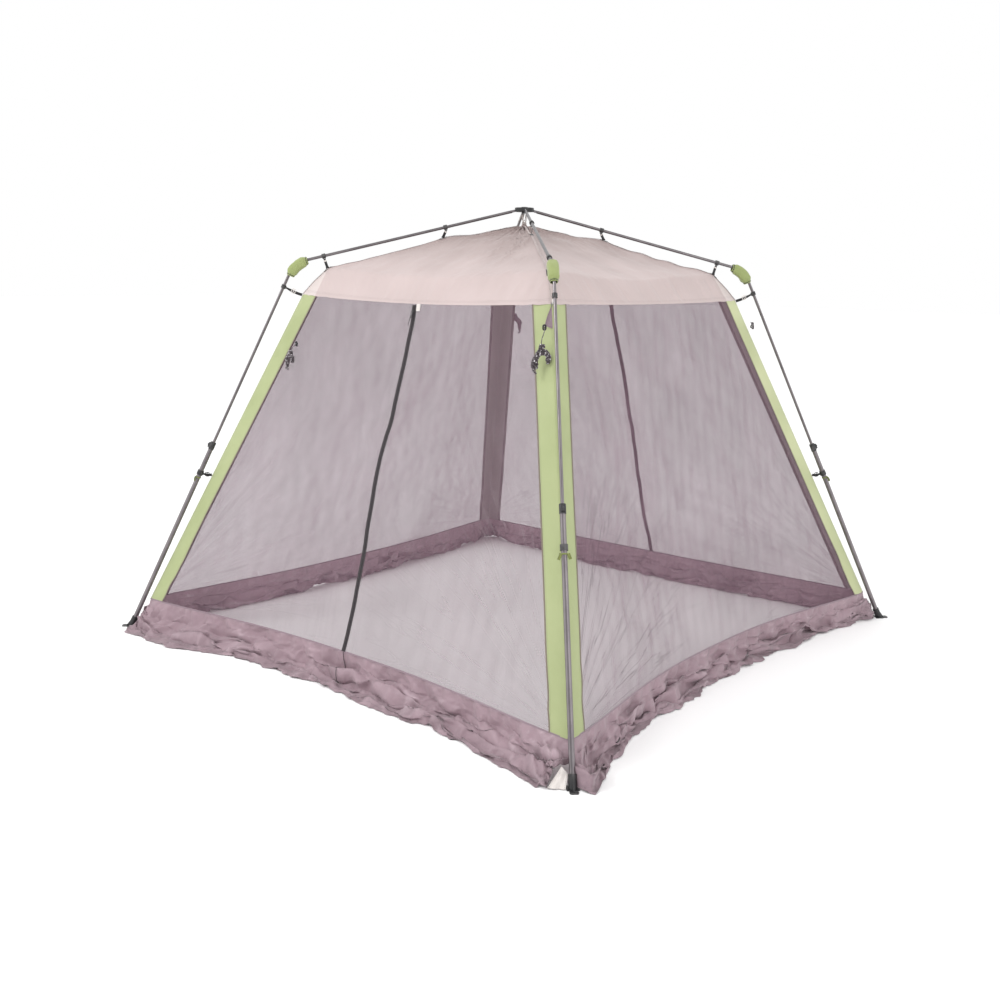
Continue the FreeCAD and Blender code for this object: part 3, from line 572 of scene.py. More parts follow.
def polar(x, d):
    # angle above the lower edge and distance, from the nearer lower corner
    half = EAVE + (LOW - EAVE) * d
    du, dv = LOW - np.abs(x) * half, (1 - d) * DOWN
    return np.arctan2(dv, np.maximum(du, 1e-6)), np.hypot(du, dv)


def wall_swell(i, x, d):
    # how far the hanging netting stands off its flat wall
    half = EAVE + (LOW - EAVE) * d
    u, v = x * half, d * DOWN
    p = np.stack([u, v], -1)
    edge = smooth((1 - np.abs(x)) * half, .07, .34)
    ends = (1 - np.exp(-v / .05)) * (1 - np.exp(-(DOWN - v) / .05))
    z = .009 * waves(p + 3 * i, 11 + i, .95) * ends
    z = z + .0045 * waves(p * [1, .75], 21 + i, .38) * ends
    z = z + .0020 * np.exp(-v / .35) * waves(p * [1, .2], 31 + i, .15) * (1 - np.exp(-v / .02))
    z = z + .0022 * waves(p * [1, .6], 51 + i, .12) * ends
    z = z + .006 * (creases(p * [.8, 1], 61 + i, .34, 4) - .35) * ends
    z = z * edge
    ang, rad = polar(x, d)
    for s in (-1, 1):
        for a, ln, amp in FAN[i, s]:
            lat = rad * np.sin(ang - a)
            z = z + (np.sign(x) == s) * .0055 * amp * np.exp(-(lat / .020) ** 2) * np.exp(-rad / ln) * smooth(rad, .05, .25) * smooth((1 - np.abs(x)) * half, .02, .12)
    return z


def wall_point(i, x, d, out=0.0):
    x, d = np.broadcast_arrays(np.asarray(x, float), np.asarray(d, float))
    return wall_flat(i, x, d) + wall_normal(i) * (wall_swell(i, x, d) + out)[..., None]


def wall_axis(i, s):
    # direction of a half wall in its plane, square to its corner line
    c = turned(unit([s * (LOW - EAVE), -(LOW - EAVE), -(EAVE_Z - LOW_Z)]), WALL[i]["turn"])
    a = turned([-s, 0, 0], WALL[i]["turn"])
    return unit(a - np.dot(a, c) * c)


def eave_corner(name):
    return arm([EAVE * math.sqrt(2), 0, EAVE_Z], name)


def settle(o, name, part, axis=None, anchor=None, replace=None):
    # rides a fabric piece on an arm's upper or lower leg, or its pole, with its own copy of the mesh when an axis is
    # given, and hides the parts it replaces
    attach(o, {"upper": "upper_leg_", "lower": "lower_leg_", "pole": "roof_pole_"}[part] + name)
    if axis is not None:
        tuple(eave_corner(name) if anchor is None else anchor)
        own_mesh(o)
    if replace:
        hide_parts(*replace)
    return o


# ------------------------------------------------------------------ netting walls
def halves():
    for i in range(4):
        for s in (1, -1):
            yield i, s, ORDER[i] if s == 1 else ORDER[i - 1]


NX, NU, NL = ((84, 58, 46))
for i, s, a in halves():
    zips = i in (0, 2)
    for part, d0, d1, nd in (("upper", 0.0, SPLIT, NU), ("lower", SPLIT, 1.0, NL)):
        d = np.linspace(d0, d1, nd + 1)[:, None]
        half = EAVE + (LOW - EAVE) * d
        x = np.linspace(0, 1, NX + 1)[None, :] * s * (strip_share(d) + .012 / half)
        x, d = np.broadcast_arrays(x, d)
        p = wall_point(i, x, d)
        half = EAVE + (LOW - EAVE) * d
        ang, rad = polar(x, d)
        n = grid_normals(p, wall_normal(i))
        f = grid_faces(*p.shape[:2])
        q, m0 = p.reshape(-1, 3), f[len(f) // 2]
        if np.dot(np.cross(q[m0[1]] - q[m0[0]], q[m0[2]] - q[m0[0]]), n.reshape(-1, 3)[m0[0]]) < 0:
            f = f[:, ::-1]
        strong = {("front", 0): .8, ("front", 1): 1.0}.get((a, i), .5)
        # 'pale' marks wall 0, whose fold lines get a painted highlight instead of painted shade
        o = build(f"netting_{'zip' if zips else 'plain'}_{i}_{a}_{part}", p, f, NET, uv=np.stack([x * half, d * DOWN], -1),
                  uv2=np.stack([ang, rad], -1), attrs={"fan": np.full(x.shape, strong), "side": np.full(x.shape, 3.7 * i + s), "pale": np.full(x.shape, 1.0 if i == 0 else 0.0)}, normals=n)
        settle(o, a, part, wall_axis(i, s), replace=["door_walls" if i % 2 == 0 else "plain_walls"])

# ------------------------------------------------------------------ corner strips with bindings
def strip_rows(a, d, out, inner=0.0, cols=7):
    # points across the strip from one face's inner edge round the corner to the other's
    i = ORDER.index(a)
    j = (i + 1) % 4                    # wall whose x = -1 is this arm
    rows, edges = [], []
    for dd in d:
        sh = strip_share(dd) + inner / (EAVE + (LOW - EAVE) * dd)
        xa = np.linspace(sh, 1, cols)[:-1]
        left = wall_point(i, xa, np.full(xa.shape, dd), out)
        right = wall_point(j, -xa[::-1], np.full(xa.shape, dd), out)
        tip = wall_flat(i, 1.0, dd) + (wall_normal(i) + wall_normal(j)) * out * .8
        rows.append(np.concatenate([left, tip[None], right]))
        half = EAVE + (LOW - EAVE) * dd
        e = np.concatenate([(xa - sh) * half, [STRIP_W - inner], ((xa - sh) * half)[::-1]])
        edges.append(e)
    return np.array(rows), np.array(edges)


for a in ORDER:
    i = ORDER.index(a)
    j = (i + 1) % 4
    outward = arm([1, 0, .4], a)
    for part, d0, d1, nd in (("upper", 0.0, SPLIT, NU), ("lower", SPLIT, 1.0, NL)):
        d = np.linspace(d0, d1, nd + 1)
        p, e = strip_rows(a, d, .0016, cols=9)
        v = d * DOWN
        pts = np.stack([e * 0 + np.linspace(-.1, .1, p.shape[1])[None, :], v[:, None] + e * 0], -1)
        amp = smooth(e, .0, .05) * (1 - smooth(e, .07, .1))
        p = p + outward * (.0018 * amp * (1 + waves(pts, 71 + i, .12)))[..., None]
        n = grid_normals(p, outward)
        # painted light: the right strip painted paler than the others, varying along its length
        painted_light = (.85 if a == "right" else .22) * np.ones_like(e) * (.6 + .4 * smooth(waves(pts, 81, .6), -1, 1))
        o = shell(f"corner_strip_{a}_{part}", p, n, .0007, GREEN, uv=pts, attrs={"edge": e, "painted_light": painted_light})
        settle(o, a, part, arm([0, 1, 0], a), replace=["corner_strips"])
        for w, s, tag in ((i, 1, "a"), (j, -1, "b")):
            x = s * (strip_share(d) - .004 / (EAVE + (LOW - EAVE) * d))
            path = wall_point(w, x, d, .0026)
            o = ribbon(f"strip_binding_{a}_{part}_{tag}", path, turned([1, 0, 0], WALL[w]["turn"]), .007, .0010, BIND, crown=.0006)
            settle(o, a, part, arm([0, 1, 0], a))

# ------------------------------------------------------------------ hem seam where netting meets the skirt
for i, s, a in halves():
    x = np.linspace(0, 1, NX + 1) * s
    path = wall_point(i, x, np.full(x.shape, 1.0), .0022)
    o = ribbon(f"hem_seam_{i}_{a}", path, turned(unit([0, -(LOW - EAVE), -(EAVE_Z - LOW_Z)]), WALL[i]["turn"]), .007, .0012, SEAM, crown=.0006)
    settle(o, a, "lower", wall_axis(i, s))


# ------------------------------------------------------------------ roof
RIDGE_Z = [(-.06, 2.190), (0, 2.206), (.060, 2.190), (.170, 2.157), (.290, 2.138), (.380, 2.099), (.520, 2.045), (.610, 2.012), (.735, 1.969), (.790, 1.899), (.832, 1.833), (.86, 1.786)]
DROP_Z = [(-.06, .002), (0, 0), (.060, .002), (.298, .012), (.520, .022), (.735, .030), (.790, .024), (.832, 0), (.86, -.016)]


def roof_z(i, h, x):
    w = WALL[i]
    z = bent(RIDGE_Z, h) - bent(DROP_Z, h) * (1 - x * x) + .001
    return z - w["sag"] * (1 - x * x) * smooth(h, .72, .832)


def roof_point(i, x, h, lift=0.0):
    # x share along the side, h half size of the square ring; past EAVE the hem goes on down the wall's slope
    x, h = np.broadcast_arrays(np.asarray(x, float), np.asarray(h, float))
    hh = np.minimum(h, EAVE)
    over = np.maximum(h - EAVE, 0)
    z = roof_z(i, hh, x)
    u = x * hh
    p = turned(np.stack([u, -hh, np.zeros(u.shape)], -1), WALL[i]["turn"])[..., :2]
    t = i + (x + 1) / 2
    body = smooth(hh, .05, .16) * (1 - smooth(hh, .70, .80))
    z = z + .0055 * waves(p, 101, .42) * body * (1 - .75 * np.abs(x) ** 6)
    z = z + .0022 * waves(p, 111, .13) * body
    # creases that run out from the peak, and slack pulled slantwise to the eave
    k = (1 - np.abs(np.sin(np.pi * (9 * t + 1.1 * waves(p, 161, .24))))) ** 2
    calm = 1 - .8 * np.abs(x) ** 6
    z = z + .012 * k * np.exp(-(hh / .27) ** 2) * smooth(hh, .02, .08) * calm
    k = (1 - np.abs(np.sin(np.pi * (15 * t + 1.3 * waves(p, 162, .17))))) ** 2
    z = z + .007 * k * np.exp(-(hh / .22) ** 2) * smooth(hh, .02, .08) * calm
    if i == 0:
        # slack gathered beside the front ridge, where the pole pulls it
        r = np.hypot((x - .62) / .42, (hh - .34) / .26)
        k = (1 - np.abs(np.sin(np.pi * (u * 7.5 + hh * 9.5 + .55 * waves(p, 171, .16))))) ** 2
        z = z + .0150 * k * np.exp(-r ** 2 * 1.6) * calm
    q = np.stack([u + .8 * np.sign(x) * hh, .25 * (hh - np.sign(x) * u)], -1)
    z = z + .0016 * waves(q, 163 + i, .045) * smooth(hh, .64, .74) * (1 - smooth(hh, .80, .832)) * smooth((1 - np.abs(x)) * hh, .03, .14) * smooth(np.abs(x), .02, .2)
    # gathers round the peak
    z = z + .0055 * np.exp(-(hh / .13) ** 2) * (np.cos(2 * np.pi * 7 * t) + .5 * np.cos(2 * np.pi * 11 * t + 1)) * smooth(hh, .0, .03)
    # ridge held up by its seam, dips where the straps pull
    z = z + .003 * np.exp(-((1 - np.abs(x)) * hh / .014) ** 2) * body
    for s in (1, -1):
        a = ORDER[i] if s == 1 else ORDER[i - 1]
        for at, lift_ in ((CLIP1[a] / math.sqrt(2), .004), (SHOULDER, .003)):
            r = np.hypot(u - s * at, hh - at)
            th = np.arctan2(hh - at, u - s * at)
            z = z + lift_ * np.exp(-(r / .030) ** 2)
            z = z + .0035 * np.cos(th * 7 + 2 * i + at * 9) * np.exp(-r / .11) * smooth(r, .01, .06)
    # puckers down the eave band
    q = np.stack([u, np.full(u.shape, .3 * i)], -1)
    band = smooth(hh, .70, .78) * (1 - smooth(hh, .822, .832) * .6)
    out = (.0030 * waves(q, 121 + i, .105) + .0018 * waves(q, 131 + i, .05)) * band * smooth((1 - np.abs(x)) * hh, .01, .08)
    out = out + .0030 * smooth(hh, .80, .832) * smooth((1 - np.abs(x)) * hh, .0, .06) + .0010
    k = over / 1.0
    y = -(hh + out + k * .34 + lift * .9 * smooth(hh, .74, .80))
    z = z - k * .94 + lift * (1 - .5 * smooth(hh, .74, .80))
    return turned(np.stack([u * (1 + k * .34 / EAVE), y, z], -1), WALL[i]["turn"])


def roof_axis(i, s):
    c = turned(unit([s * .735, -.735, -.236]), WALL[i]["turn"])
    b = turned([-s * .735, 0, -.030], WALL[i]["turn"])
    return unit(b - np.dot(b, c) * c)


def roof_rings():
    body = np.concatenate([np.linspace(.012, .10, 9), np.linspace(.12, .70, 30), np.linspace(.712, .832, 18), EAVE + np.array([.0015, .003])])
    return body


RH = roof_rings()
RX = 76
for i, s, a in halves():
    x = np.linspace(0, 1, RX + 1)[None, :] * s
    h = RH[:, None]
    x, h = np.broadcast_arrays(x, h)
    p = roof_point(i, x, h)
    n = grid_normals(p, turned([0, -.4, 1], WALL[i]["turn"]))
    edge = np.maximum(EAVE + .003 - h, 0) + 0 * x
    # painted light: the roof cloth painted paler towards the eave, with a little wander
    painted_light = smooth(h, .12, .84) * .95 + .08 * waves(np.stack([x * h, h], -1), 151, .3)
    o = shell(f"roof_panel_{i}_{a}", p, n, .0009, ROOF, uv=np.stack([x * h, h], -1), attrs={"edge": edge, "painted_light": np.clip(painted_light, 0, 1), "facet": np.full(x.shape, .0 if a == "front" else .9)})
    settle(o, a, "pole", roof_axis(i, s), anchor=arm([.6, 0, 2.14], a), replace=["canopy"])

for a in ORDER:
    i = ORDER.index(a)
    h = np.concatenate([np.linspace(.02, .7, 60), np.linspace(.712, .834, 20)])
    path = roof_point(i, np.ones_like(h), h, .0014)
    o = ribbon(f"ridge_seam_{a}", path, arm([0, 1, 0], a), .009, .0010, RIDGE, crown=.0008)
    settle(o, a, "pole", None)

# gathered cap over the roof's peak with its ring of cord
th = np.linspace(0, 2 * np.pi, 96, endpoint=False)
rows = []
for r, z, g in ((.0165, 2.2035, .0030), (.013, 2.2085, .0026), (.0105, 2.214, .0020), (.0095, 2.219, .0014), (.0105, 2.224, .0016), (.0085, 2.228, .0012), (.004, 2.229, .0004)):
    rr = r + g * np.cos(14 * th + 3 * z)
    rows.append(np.stack([rr * np.cos(th), rr * np.sin(th), np.full(th.shape, z) + g * .6 * np.cos(7 * th)], -1))
v = np.concatenate(rows + [np.array([[0, 0, 2.229]]), np.array([[0, 0, 2.2030]])])
f = [list(q)[::-1] for q in grid_faces(len(rows), 96, wrap=True)]
k = len(rows) * 96
f += [((len(rows) - 1) * 96 + j, (len(rows) - 1) * 96 + (j + 1) % 96, k) for j in range(96)]
f += [((j + 1) % 96, j, k + 1) for j in range(96)]
cap = build("peak_gather", v, f, ROOF, uv=np.stack([v[:, 0] + v[:, 1], v[:, 2]], -1), attrs={"edge": np.full(len(v), .1), "painted_light": np.full(len(v), .1)})
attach(cap, "hub")
ring = np.linspace(0, 2 * np.pi * 3, 120)
o = pipe("peak_lashing", np.stack([.0112 * np.cos(ring), .0112 * np.sin(ring), 2.2165 + ring * .00032], -1), .0013, PEAK, 8)
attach(o, "hub")
loops = []
for q in range(4):
    g = math.radians(45 + 90 * q)
    c, sn = math.cos(g), math.sin(g)
    t = np.linspace(0, 1, 40)
    rad = .009 + .006 * np.sin(np.pi * t) * (1 if q % 2 else -.4)
    bow = .007 * np.sin(np.pi * t * 1.0) * (1 if q < 2 else -1)
    path = np.stack([rad * c - bow * sn, rad * sn + bow * c, 2.216 + t * .055], -1)
    loops.append(pipe(f"peak_cord_{q}", path, .0019, PEAK, 8))
    side = np.linspace(0, np.pi, 26)
    drop = .026 + .006 * q
    path = np.stack([(.012 + .020 * np.sin(side)) * c - .012 * np.cos(side) * sn, (.012 + .020 * np.sin(side)) * sn + .012 * np.cos(side) * c, 2.268 - drop * np.sin(side)], -1)
    loops.append(pipe(f"peak_loop_{q}", path, .0016, PEAK, 8))
o = join("peak_cords", loops)
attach(o, "hub")

# ------------------------------------------------------------------ straps
def on_pole(s):
    return HINGE + E * s


def on_leg(t):
    return KNEE + L * t


for a in ORDER:
    i = ORDER.index(a)
    parts = []
    for tag, at in (("inner", CLIP1[a]), ("outer", CLIP2)):
        s = at - .039
        top = on_pole(s) - M * .0155
        h = SHOULDER if tag == "outer" else at / math.sqrt(2)
        bottom = roof_point(i, np.array([1.0]), np.array([h]), .001)[0]
        low = turned(bottom, -ARM_DEG[a])
        low[1] = 0
        t = np.linspace(0, 1, 28)
        path = top + (low - top) * t[:, None] + np.array([0, .0022, 0]) * np.sin(np.pi * 1.5 * t)[:, None]
        thin = .62 if tag == "inner" and a == "front" else 1.0
        width = np.interp(t, [0, .10, .2, .8, 1], [.007, .011, .014, .014, .019]) * thin
        parts.append(ribbon(f"roof_strap_{a}_{tag}", arm(path, a), arm(E, a), width, .0016, WEB, crown=.0003))
        # pale keeper sewn near the top, and the patch the strap is sewn to
        parts.append(ribbon(f"roof_keeper_{a}_{tag}", arm(path[4:9], a), arm(E, a), .0155 * thin, .0034, PALE, crown=.0004))
        g = np.linspace(-.020, .020, 9)
        patch = np.stack([turned(roof_point(i, np.array([1.0]), np.array([h + q_ / math.sqrt(2)]), .0022)[0], -ARM_DEG[a]) for q_ in g])
        patch[:, 1] = 0
        parts.append(ribbon(f"roof_patch_{a}_{tag}", arm(patch, a), arm(ACROSS, a), .016 * thin + .004, .0014, WEB, crown=.0003))
        ring = np.linspace(0, 2 * np.pi, 29)
        loop = top + np.outer(np.cos(ring), M) * .0045 + np.outer(np.sin(ring), E) * .006 + M * .001
        parts.append(pipe(f"roof_ring_{a}_{tag}", arm(loop, a), .0011, BLACK, 8, up=arm(ACROSS, a), caps=False))
    for q in parts:
        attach(q, "roof_pole_" + a)
    # wall straps, from each leg clip to the corner strip
    for tag, at, part, r0 in (("upper", LEG_CLIP1, "upper", .0155), ("lower", LEG_CLIP2, "lower", .0185)):
        top = on_leg(at) - N * r0
        z = EAVE_Z - .004 if tag == "upper" else top[2] - .006
        d = (EAVE_Z - z) / (EAVE_Z - LOW_Z)
        corner = turned(wall_flat(i, 1.0, d) + 0, -ARM_DEG[a])
        corner[1] = 0
        corner = corner + np.array([.004, 0, .001])
        t = np.linspace(0, 1, 20)
        path = top + (corner - top) * t[:, None] + np.array([0, 0, -.003]) * np.sin(np.pi * t)[:, None]
        dirn = unit(corner - top)
        high = unit(np.cross(dirn, ACROSS))
        o = ribbon(f"wall_strap_{a}_{tag}", arm(path, a), arm(high, a), np.interp(t, [0, .15, .3, 1], [.008, .011, .014, .015]), .0015, WEB, crown=.0003)
        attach(o, part + "_leg_" + a)
        # buckle: a small ladder-lock frame on the strap, pale on the upper strap and black on the lower
        mid = top + (corner - top) * .45
        hard = PALEHARD if tag == "upper" else BLACK
        th = np.linspace(0, 2 * np.pi, 33)
        e = 4
        cx = np.sign(np.cos(th)) * np.abs(np.cos(th)) ** (2 / e) * .010
        cy = np.sign(np.sin(th)) * np.abs(np.sin(th)) ** (2 / e) * .011
        loop = mid + np.outer(cx, dirn) + np.outer(cy, high)
        b1 = pipe(f"b1_{a}_{tag}", arm(loop, a), .0021, hard, 8, up=arm(ACROSS, a), caps=False)
        bar = mid + np.outer(np.linspace(-1, 1, 6), high * .010)
        b2 = pipe(f"b2_{a}_{tag}", arm(bar, a), .0019, hard, 8, up=arm(ACROSS, a))
        o = join(f"strap_buckle_{a}_{tag}", [b1, b2])
        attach(o, part + "_leg_" + a)
    # small olive tie ribbon under the lower clip
    bits = []
    for q, (ln, sw) in enumerate(((.027, .010), (.024, -.008))):
        t = np.linspace(0, 1, 22)
        p0 = on_leg(LEG_CLIP2 + .026) + ACROSS * (.016 if q else -.016) + N * .006
        path = p0 + np.outer(t, L * ln) + np.outer(np.sin(t * 1.6) * t, ACROSS * (-sw if q == 0 else -sw)) + np.outer(.004 + np.sin(t * 3 + q) * .003, N)
        bits.append(ribbon(f"t{q}_{a}", arm(path, a), arm(unit(ACROSS + N * (.5 if q else -.5)), a), .014, .0012, OLIVE, crown=.0010))
    ring = np.linspace(0, 2 * np.pi, 33)
    knot = on_leg(LEG_CLIP2 + .028) + np.outer(np.cos(ring), ACROSS) * .0138 + np.outer(np.sin(ring), N) * .0138
    bits.append(pipe(f"k_{a}", arm(knot, a), .0022, OLIVE, 8, up=arm(L, a), squash=(1.6, .6), caps=False))
    o = join(f"tie_ribbon_{a}", bits)
    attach(o, "lower_leg_" + a)

# ------------------------------------------------------------------ knee covers
for a in ORDER:
    t = np.linspace(0, 1, 64)
    p0, p2 = KNEE - E * .071 - M * .0045, KNEE + L * .071 - N * .0085
    pc = KNEE - (M + N) * .004
    path = (1 - t)[:, None] ** 2 * p0 + (2 * t * (1 - t))[:, None] * pc + t[:, None] ** 2 * p2
    mid = np.sin(np.pi * t)
    r = .0190 + .0095 * smooth(t, .02, .20) * (1 - smooth(t, .80, .98))

    def ruffle(th, s):
        g = math.exp(-(s / .10) ** 2) + math.exp(-((1 - s) / .10) ** 2)
        box = (np.abs(np.cos(th)) ** 3.2 + np.abs(np.sin(th)) ** 3.2) ** (-1 / 3.2)
        around = np.stack([np.cos(th) * .03, np.sin(th) * .03, np.full(th.shape, s * .14)], -1)
        fold = creases(around, 610 + ORDER.index(a), .034, 4) - .35
        return (1 + (box - 1) * (1 - .6 * g)) * (1 + .07 * g * np.cos(11 * th + 2 * s) + .10 * fold + .02 * np.cos(3 * th + 9 * s))
    n = len(t)
    _, fa, fb = frames_along(path, M)
    sides = 40
    ths = np.arange(sides) / sides * 2 * np.pi
    outer, inner, uv, edge = [], [], [], []
    ds = np.concatenate([[0], np.cumsum(np.linalg.norm(np.diff(path, axis=0), axis=1))])
    for q in range(n):
        rr = r[q] * ruffle(ths, t[q])
        ring = path[q] + (np.cos(ths) * rr * 1.0)[:, None] * fa[q] + (np.sin(ths) * rr * .90)[:, None] * fb[q]
        outer.append(ring)
        inner.append(path[q] + (np.cos(ths) * (rr - .0009) * 1.0)[:, None] * fa[q] + (np.sin(ths) * (rr - .0009) * .90)[:, None] * fb[q])
        uv.append(np.stack([ths * r[q], np.full(sides, ds[q])], -1))
        edge.append(np.full(sides, min(ds[q], ds[-1] - ds[q])))
    k = n * sides
    f1 = grid_faces(n, sides, wrap=True)
    v = np.concatenate([np.concatenate(outer), np.concatenate(inner)])
    faces = list(f1[:, ::-1]) + list(f1 + k)
    for j in range(sides):
        jj = (j + 1) % sides
        faces.append((jj, j, j + k, jj + k)[::-1])
        b = (n - 1) * sides
        faces.append((b + j, b + jj, b + jj + k, b + j + k)[::-1])
    o = build(f"knee_cover_{a}", arm(v, a), faces, SLEEVE, uv=np.concatenate(uv * 2), attrs={"edge": np.concatenate(edge * 2)})
    tuple(arm(KNEE - E * .040, a))
    tuple(arm(KNEE + L * .040, a))
    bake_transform(o)
    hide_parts("knee_covers")
    # drawcord round each end
    for tag, at, dirn, body in (("pole", path[3], E, "roof_pole_"), ("leg", path[-4], L, "upper_leg_")):
        ax = np.cross(dirn, ACROSS)
        ring = np.linspace(0, 2 * np.pi, 41)
        loop = at + np.outer(np.cos(ring), ax) * .0212 + np.outer(np.sin(ring), ACROSS) * .0190
        o = pipe(f"cover_cord_{a}_{tag}", arm(loop, a), .0014, DARKCORD, 8, up=arm(dirn, a), caps=False)
        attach(o, body + a)

# ------------------------------------------------------------------ guy lines, coiled near the top corners
COILS = {"front": (.8815, -.959, 1.606), "right": (.912, .902, 1.690), "back": (-.850, .985, 1.640), "left": (-.775, -.976, 1.500)}
TIPS = {"front": (.872, -.930, 1.742), "right": (.904, .894, 1.715), "back": (-.872, .930, 1.736), "left": (-.782, -.928, 1.584)}
for idx, (a, c) in enumerate(COILS.items()):
    c = np.array(c)
    rnd = np.random.RandomState(300 + idx)
    outd = unit([c[0], c[1], 0]) if a != "left" else np.array([0, -1.0, 0])
    tan = unit(np.cross(outd, [0, 0, 1]))
    small = a == "right"
    size = .42 if small else .74 if a == "left" else 1.0
    hang = np.array(TIPS[a])      # where the line is tied
    # a messy horseshoe bundle: the line goes up and down many times, each turn a little different
    turns = 6 if small else 11
    per_ = 46
    pts_ = []
    for k in range(turns):
        th_ = np.linspace(-.22 * np.pi, 1.22 * np.pi, per_) + rnd.uniform(-.12, .12)
        wide, tall = rnd.uniform(.024, .038) * size, rnd.uniform(.026, .038) * size
        off = np.array([rnd.uniform(-.007, .007), rnd.uniform(-.010, .010), rnd.uniform(-.006, .006)]) * size
        lean = rnd.uniform(-.12, .12)
        x_ = np.cos(th_) * wide * (1 - .15 * np.sin(th_)) + off[0]
        z_ = np.sin(th_) * tall + off[2] - .006 * size * (1 + np.cos(th_)) * k / 4
        y_ = off[1] + .004 * size * np.sin(th_ * 2 + k)
        loop_ = c + np.outer(x_ + lean * z_, tan) + np.outer(z_, [0, 0, 1]) + np.outer(y_, outd)
        pts_.append(loop_ if k % 2 == 0 else loop_[::-1])
    path = np.concatenate(pts_)
    # round the turns where one loop runs into the next
    for _ in range(3):
        path[1:-1] = (path[:-2] + 2 * path[1:-1] + path[2:]) / 4
    gr = .0046 if not small else .0026
    bits = [pipe(f"coil_{a}", path, gr, GUY, 8, up=outd)]
    # wraps over the bundle's middle, the line up to its slider, and the loose end below
    tt = np.linspace(0, 2 * np.pi * 3, 100)
    w0 = c + np.array([0, 0, .042 * size])
    bits.append(pipe(f"wrap_{a}", w0 + np.outer(np.cos(tt) * .012 * size, outd) + np.outer(np.sin(tt) * .012 * size, [0, 0, 1]) + np.outer((tt / tt[-1] - .5) * .022 * size, tan), gr, GUY, 8, up=tan))
    t = np.linspace(0, 1, 50)
    p3 = c + np.array([0, 0, .050 * size])
    tail = p3 + (hang - p3) * t[:, None] + np.outer(np.sin(2 * np.pi * t) * .003, tan)
    bits.append(pipe(f"tail_{a}", tail, .0019, GUY, 8, up=tan))
    if not small:
        tt2 = np.linspace(0, 1, 60)
        tail2 = c + np.outer(.030 * size + .007 * np.cos(tt2 * 16) * tt2, tan) + np.outer(-tt2 * .058 * size - .012, [0, 0, 1]) + np.outer(.004 + .007 * np.sin(tt2 * 16) * tt2, outd)
        bits.append(pipe(f"tail2_{a}", tail2, gr, GUY, 8, up=outd))
    th2 = np.linspace(0, 2 * np.pi, 33)
    cx = np.sign(np.cos(th2)) * np.abs(np.cos(th2)) ** .5 * .006
    cy = np.sign(np.sin(th2)) * np.abs(np.sin(th2)) ** .5 * .010
    if not small:
        bits.append(pipe(f"slider_{a}", hang + np.outer(cx, tan) + np.outer(cy - .008, [0, 0, 1]), .0036, BLACK, 8, up=outd, caps=False))
    o = join(f"guy_line_{a}", bits)
    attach(o, "upper_leg_" + a)
    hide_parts("guy_lines")
    if a in ("right", "left"):
        continue
    # gusset: a small mauve triangle sewn into the corner; the guy line is tied to its tip
    wall = ORDER.index(a)
    g0 = hang
    away = arm([.004, 0, 0], a)
    g1 = wall_flat(wall, 1.0, .003) + away
    g2 = wall_flat(wall, 1.0, .062) + away
    rows = []
    for q in np.linspace(0, 1, 12):
        e1, e2 = g0 + (g1 - g0) * q, g0 + (g2 - g0) * q
        r_ = np.linspace(0, 1, 9)[:, None]
        row = e1 + (e2 - e1) * r_
        row = row + np.outer(np.sin(np.linspace(0, 3.1, 9) * 2 + q * 3) * .0025 * q * (1 - q) * 4, tan)
        rows.append(row)
    p = np.array(rows)
    p[0] = p[0] + np.linspace(-.002, .002, 9)[:, None] * np.array([0, 0, -1])
    n = grid_normals(p, tan)
    e = np.broadcast_to(np.minimum(np.linspace(0, 1, 9), np.linspace(1, 0, 9))[None, :] * .06, p.shape[:2])
    o = shell(f"guy_gusset_{a}", p, n, .0008, GUSSET, uv=np.stack(np.meshgrid(np.linspace(0, .06, 9), np.linspace(0, .06, 12)), -1), attrs={"edge": e})
    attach(o, "upper_leg_" + a)

# ------------------------------------------------------------------ door zips
def zip_pieces(i, a, rides):
    for part, d0, d1 in (("upper", .004, SPLIT), ("lower", SPLIT, 1.0)):
        nd = 90 if part == "upper" else 74
        d = np.linspace(d0, d1, nd)
        path = wall_point(i, np.zeros(nd), d, .0030)
        side = turned([1, 0, 0], WALL[i]["turn"])
        sw = .0018 * waves(np.stack([d * 2, d * 0], -1), 200 + i, .5)
        path = path + np.outer(sw, side)
        axis = wall_axis(i, rides[1])
        o = ribbon(f"zip_tape_{i}_{part}", path, side, .026, .0012, TAPE, crown=.0004, cols=9)
        settle(o, rides[0], part, axis, replace=["door_zips"])
        # coil: rounded teeth side by side
        teeth = 330 if part == "upper" else 270
        dd = np.linspace(d0 + .002, d1, teeth * 4)
        base = wall_point(i, np.zeros(len(dd)), dd, .0042) + np.outer(np.interp(dd, d, sw), side)
        rr = .0026 + .0009 * np.maximum(np.cos(np.arange(len(dd)) * np.pi / 2), -.5)
        o = pipe(f"zip_coil_{i}_{part}", base, rr, COIL, 6, up=side, squash=(1.25, .8))
        settle(o, rides[0], part, axis)


zip_pieces(0, "front", ("front", 1))
zip_pieces(2, "back", ("back", 1))

# pale fold tab and short dark cord at the front zip's top
t = np.linspace(0, 1, 14)
tab = wall_point(0, .033 + 0 * t, .001 + t * .020, .0065)
o = ribbon("zip_tab_front", tab, turned([1, 0, .08], 0), .026, .0016, PALE, crown=.0010, cols=7)
settle(o, "front", "upper", wall_axis(0, 1))
t = np.linspace(0, 1, 30)
tie = wall_point(0, -.016 + .006 * np.sin(t * 5), .004 + t * .060, .008)
o = pipe("zip_tie_front", tie, .0016, DARKCORD, 8)
settle(o, "front", "upper", wall_axis(0, 1))


